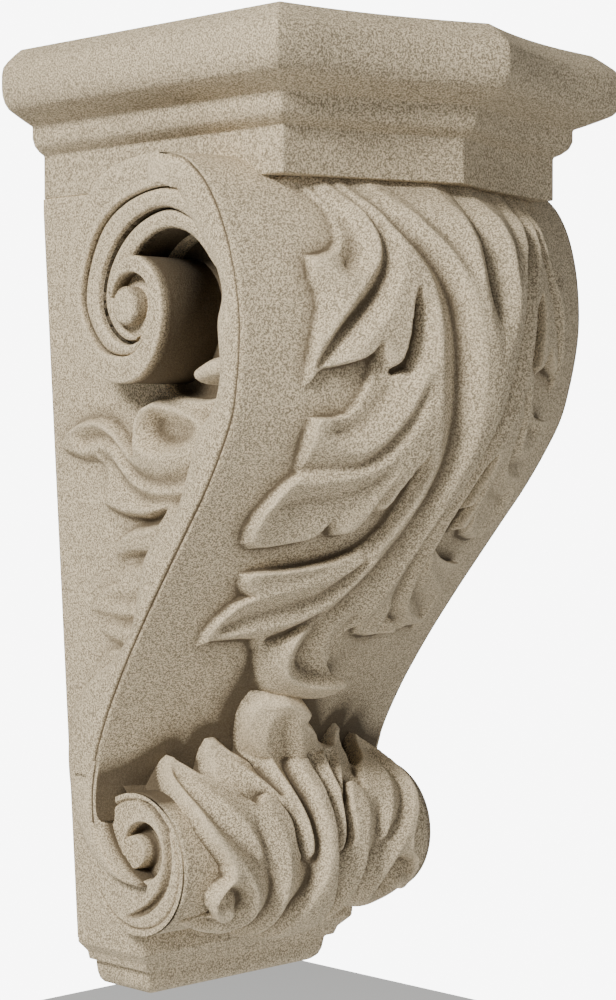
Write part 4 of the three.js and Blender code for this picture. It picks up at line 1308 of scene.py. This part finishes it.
# %% the sandstone
DARK_GROUND = (0.45, 0.355, 0.215)
PALE_GROUND = (0.575, 0.47, 0.30)
DARK_GRAIN = (0.14, 0.115, 0.08)
PALE = (0.80, 0.67, 0.47)
# near-black brown of the painted shade in hollows and crevices, with some dust
SHADE_AND_DUST_BROWN = (0.085, 0.062, 0.036)
# each noise: how fine, how many layers, how rough
DRIFT, BLOTCH = (14, 3), (60, 4)
GRAIN, FINE_GRAIN = (1500, 2, 0.6), (2700, 2, 0.7)
GRAIN_CONTRAST, GRAIN_SHARE = 7, 0.76
# how strongly the painted shade with dust follows the hollow value, and how dark it goes at most
SHADE_AND_DUST_GAIN, SHADE_AND_DUST_MOST = 1.7, 0.92
PALER_PROUD_GAIN, PALER_PROUD_MOST = 1.2, 0.35
BUMP = {"Strength": 0.7, "Distance": 0.0008}


def sandstone():
    """Ground, grains, painted shade with some dust in the hollows, and paler proud edges, in that
    order.
    """
    material = bpy.data.materials.new("sandstone")
    material.use_nodes = True
    tree = material.node_tree
    shader = tree.nodes["Principled BSDF"]
    shader.inputs["Specular IOR Level"].default_value = 0.25
    place = Wire(tree, tree.nodes.new("ShaderNodeTexCoord").outputs["Object"])
    hollow = tree.nodes.new("ShaderNodeAttribute")
    hollow.attribute_name = "hollow"
    relief = Wire(tree, hollow.outputs["Fac"])
    drift = place.noise(*DRIFT)
    blotch = place.noise(*BLOTCH)
    fine = place.noise(*FINE_GRAIN)
    grain = place.noise(*GRAIN)
    tone = ((drift - 0.5) * 0.7 + (blotch - 0.5) * 0.5 + 0.5).clamped()
    ground = tone.tint(DARK_GROUND, PALE_GROUND)
    light = ((grain - 0.5) * GRAIN_CONTRAST + (fine - 0.5) * GRAIN_CONTRAST + 0.47).clamped()
    grains = light.tint(DARK_GRAIN, PALE)
    share = Wire(tree, place.node("ShaderNodeValue").outputs[0])
    share.socket.default_value = GRAIN_SHARE
    mixed = share.tint(ground, grains)
    # painted shade: the more hollow a place, the nearer it goes to dark brown, with some dust
    shade_and_dust = ((0 - relief) * SHADE_AND_DUST_GAIN + (blotch - 0.5) * 0.4 - 0.04).clamped()
    shaded_and_dusty = (shade_and_dust * SHADE_AND_DUST_MOST).tint(mixed, SHADE_AND_DUST_BROWN)
    # proud edges and arrises are made paler
    paler_proud = ((relief - 0.12) * PALER_PROUD_GAIN).clamped() * PALER_PROUD_MOST
    colour = paler_proud.tint(shaded_and_dusty, PALE)
    tree.links.new(colour.socket, shader.inputs["Base Color"])
    rough = 0.86 + (grain - 0.5) * 0.2
    tree.links.new(rough.socket, shader.inputs["Roughness"])
    height = grain * 0.6 + fine * 0.5 + blotch * 0.5
    bump = place.node("ShaderNodeBump", Height=height, **BUMP)
    tree.links.new(bump.outputs["Normal"], shader.inputs["Normal"])
    return material


stone = sandstone()
pieces = [o for o in bpy.context.scene.objects if o.get("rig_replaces")]
for piece in pieces + list(frame["nodes"].values()):
    piece.data.materials.clear()
    piece.data.materials.append(stone)
print(len(pieces), "pieces of", stone.name)

# %% [markdown]
# The camera stands to the left, a little above the middle of the corbel and below its top.
# It is far off and has a long lens, so that the sides hardly draw together.

# %% the camera
CAMERA_PLACE = (-0.627436, -0.711625, 0.034956)
CAMERA_YAW = math.radians(44.3407)
CAMERA_PITCH = math.radians(-1.58594)
FOCAL_PIXELS, PICTURE_HEIGHT = 2381.5, 1000
camera_data = bpy.data.cameras.new("camera")
camera_data.sensor_width = 36
camera_data.lens = 36 * FOCAL_PIXELS / PICTURE_HEIGHT
camera_data.clip_start = 0.05
camera = bpy.data.objects.new("camera", camera_data)
bpy.context.scene.collection.objects.link(camera)
camera.location = CAMERA_PLACE
level = math.cos(CAMERA_PITCH)
look = Vector((math.sin(CAMERA_YAW) * level, math.cos(CAMERA_YAW) * level, math.sin(CAMERA_PITCH)))
camera.rotation_euler = look.to_track_quat("-Z", "Y").to_euler()
bpy.context.scene.camera = camera
print("camera lens", round(camera_data.lens, 1), "mm")

# %% [markdown]
# Carving is read by its shadows, so one soft light rakes it from the upper left, and a
# weak wide one in front keeps the hollows from going black.

# %% the lights
MIDDLE = (0, -0.06, 0)


def soft_light(name, place, size, power, colour):
    """A square light that faces the middle of the corbel; size in metres, power in watts."""
    data = bpy.data.lights.new(name, "AREA")
    data.shape = "RECTANGLE"
    data.size = data.size_y = size
    data.energy = power
    data.color = colour
    light = bpy.data.objects.new(name, data)
    bpy.context.scene.collection.objects.link(light)
    light.location = place
    light.rotation_euler = (Vector(MIDDLE) - Vector(place)).to_track_quat("-Z", "Y").to_euler()
    return light


key = soft_light("key", (-1.45, -0.42, 0.85), 0.4, 47, (1.0, 0.98, 0.94))
fill = soft_light("fill", (0.2, -1.9, 0.1), 0.9, 7, (1.0, 1.0, 1.0))
print("key light", key.data.energy, "W, fill", fill.data.energy, "W")

# %% [markdown]
# Below the corbel lies a pale painted board. Round it is a white surrounding that is dim
# as a light, so the shadows stay, and bright where it is seen.

# %% the floor and the surroundings
REACH, DROP = 0.8, -0.42
PAINT = {"Base Color": (0.86, 0.86, 0.85, 1), "Roughness": 0.9,
         "Emission Color": (1, 1, 1, 1), "Emission Strength": 0.12}
LIGHT_STRENGTH, SEEN_STRENGTH = 0.21, 8.0
floor_mesh = bpy.data.meshes.new("floor")
corners = [(x * REACH, y * REACH, DROP) for x, y in ((-1, -1), (1, -1), (1, 1), (-1, 1))]
floor_mesh.from_pydata(corners, [], [[0, 1, 2, 3]])
floor = bpy.data.objects.new("floor", floor_mesh)
bpy.context.scene.collection.objects.link(floor)
paint = bpy.data.materials.new("studio paint")
paint.use_nodes = True
for socket, value in PAINT.items():
    paint.node_tree.nodes["Principled BSDF"].inputs[socket].default_value = value
floor_mesh.materials.append(paint)

world = bpy.data.worlds.new("studio")
world.use_nodes = True
tree = world.node_tree
backdrop = tree.nodes["Background"]
backdrop.inputs["Color"].default_value = (1.0, 1.0, 1.0, 1)
seen = tree.nodes.new("ShaderNodeLightPath")
strength = tree.nodes.new("ShaderNodeMapRange")
strength.inputs["To Min"].default_value = LIGHT_STRENGTH
strength.inputs["To Max"].default_value = SEEN_STRENGTH
tree.links.new(seen.outputs["Is Camera Ray"], strength.inputs["Value"])
tree.links.new(strength.outputs["Result"], backdrop.inputs["Strength"])
bpy.context.scene.world = world
print("floor", 2 * REACH, "m across, at", DROP, "m")
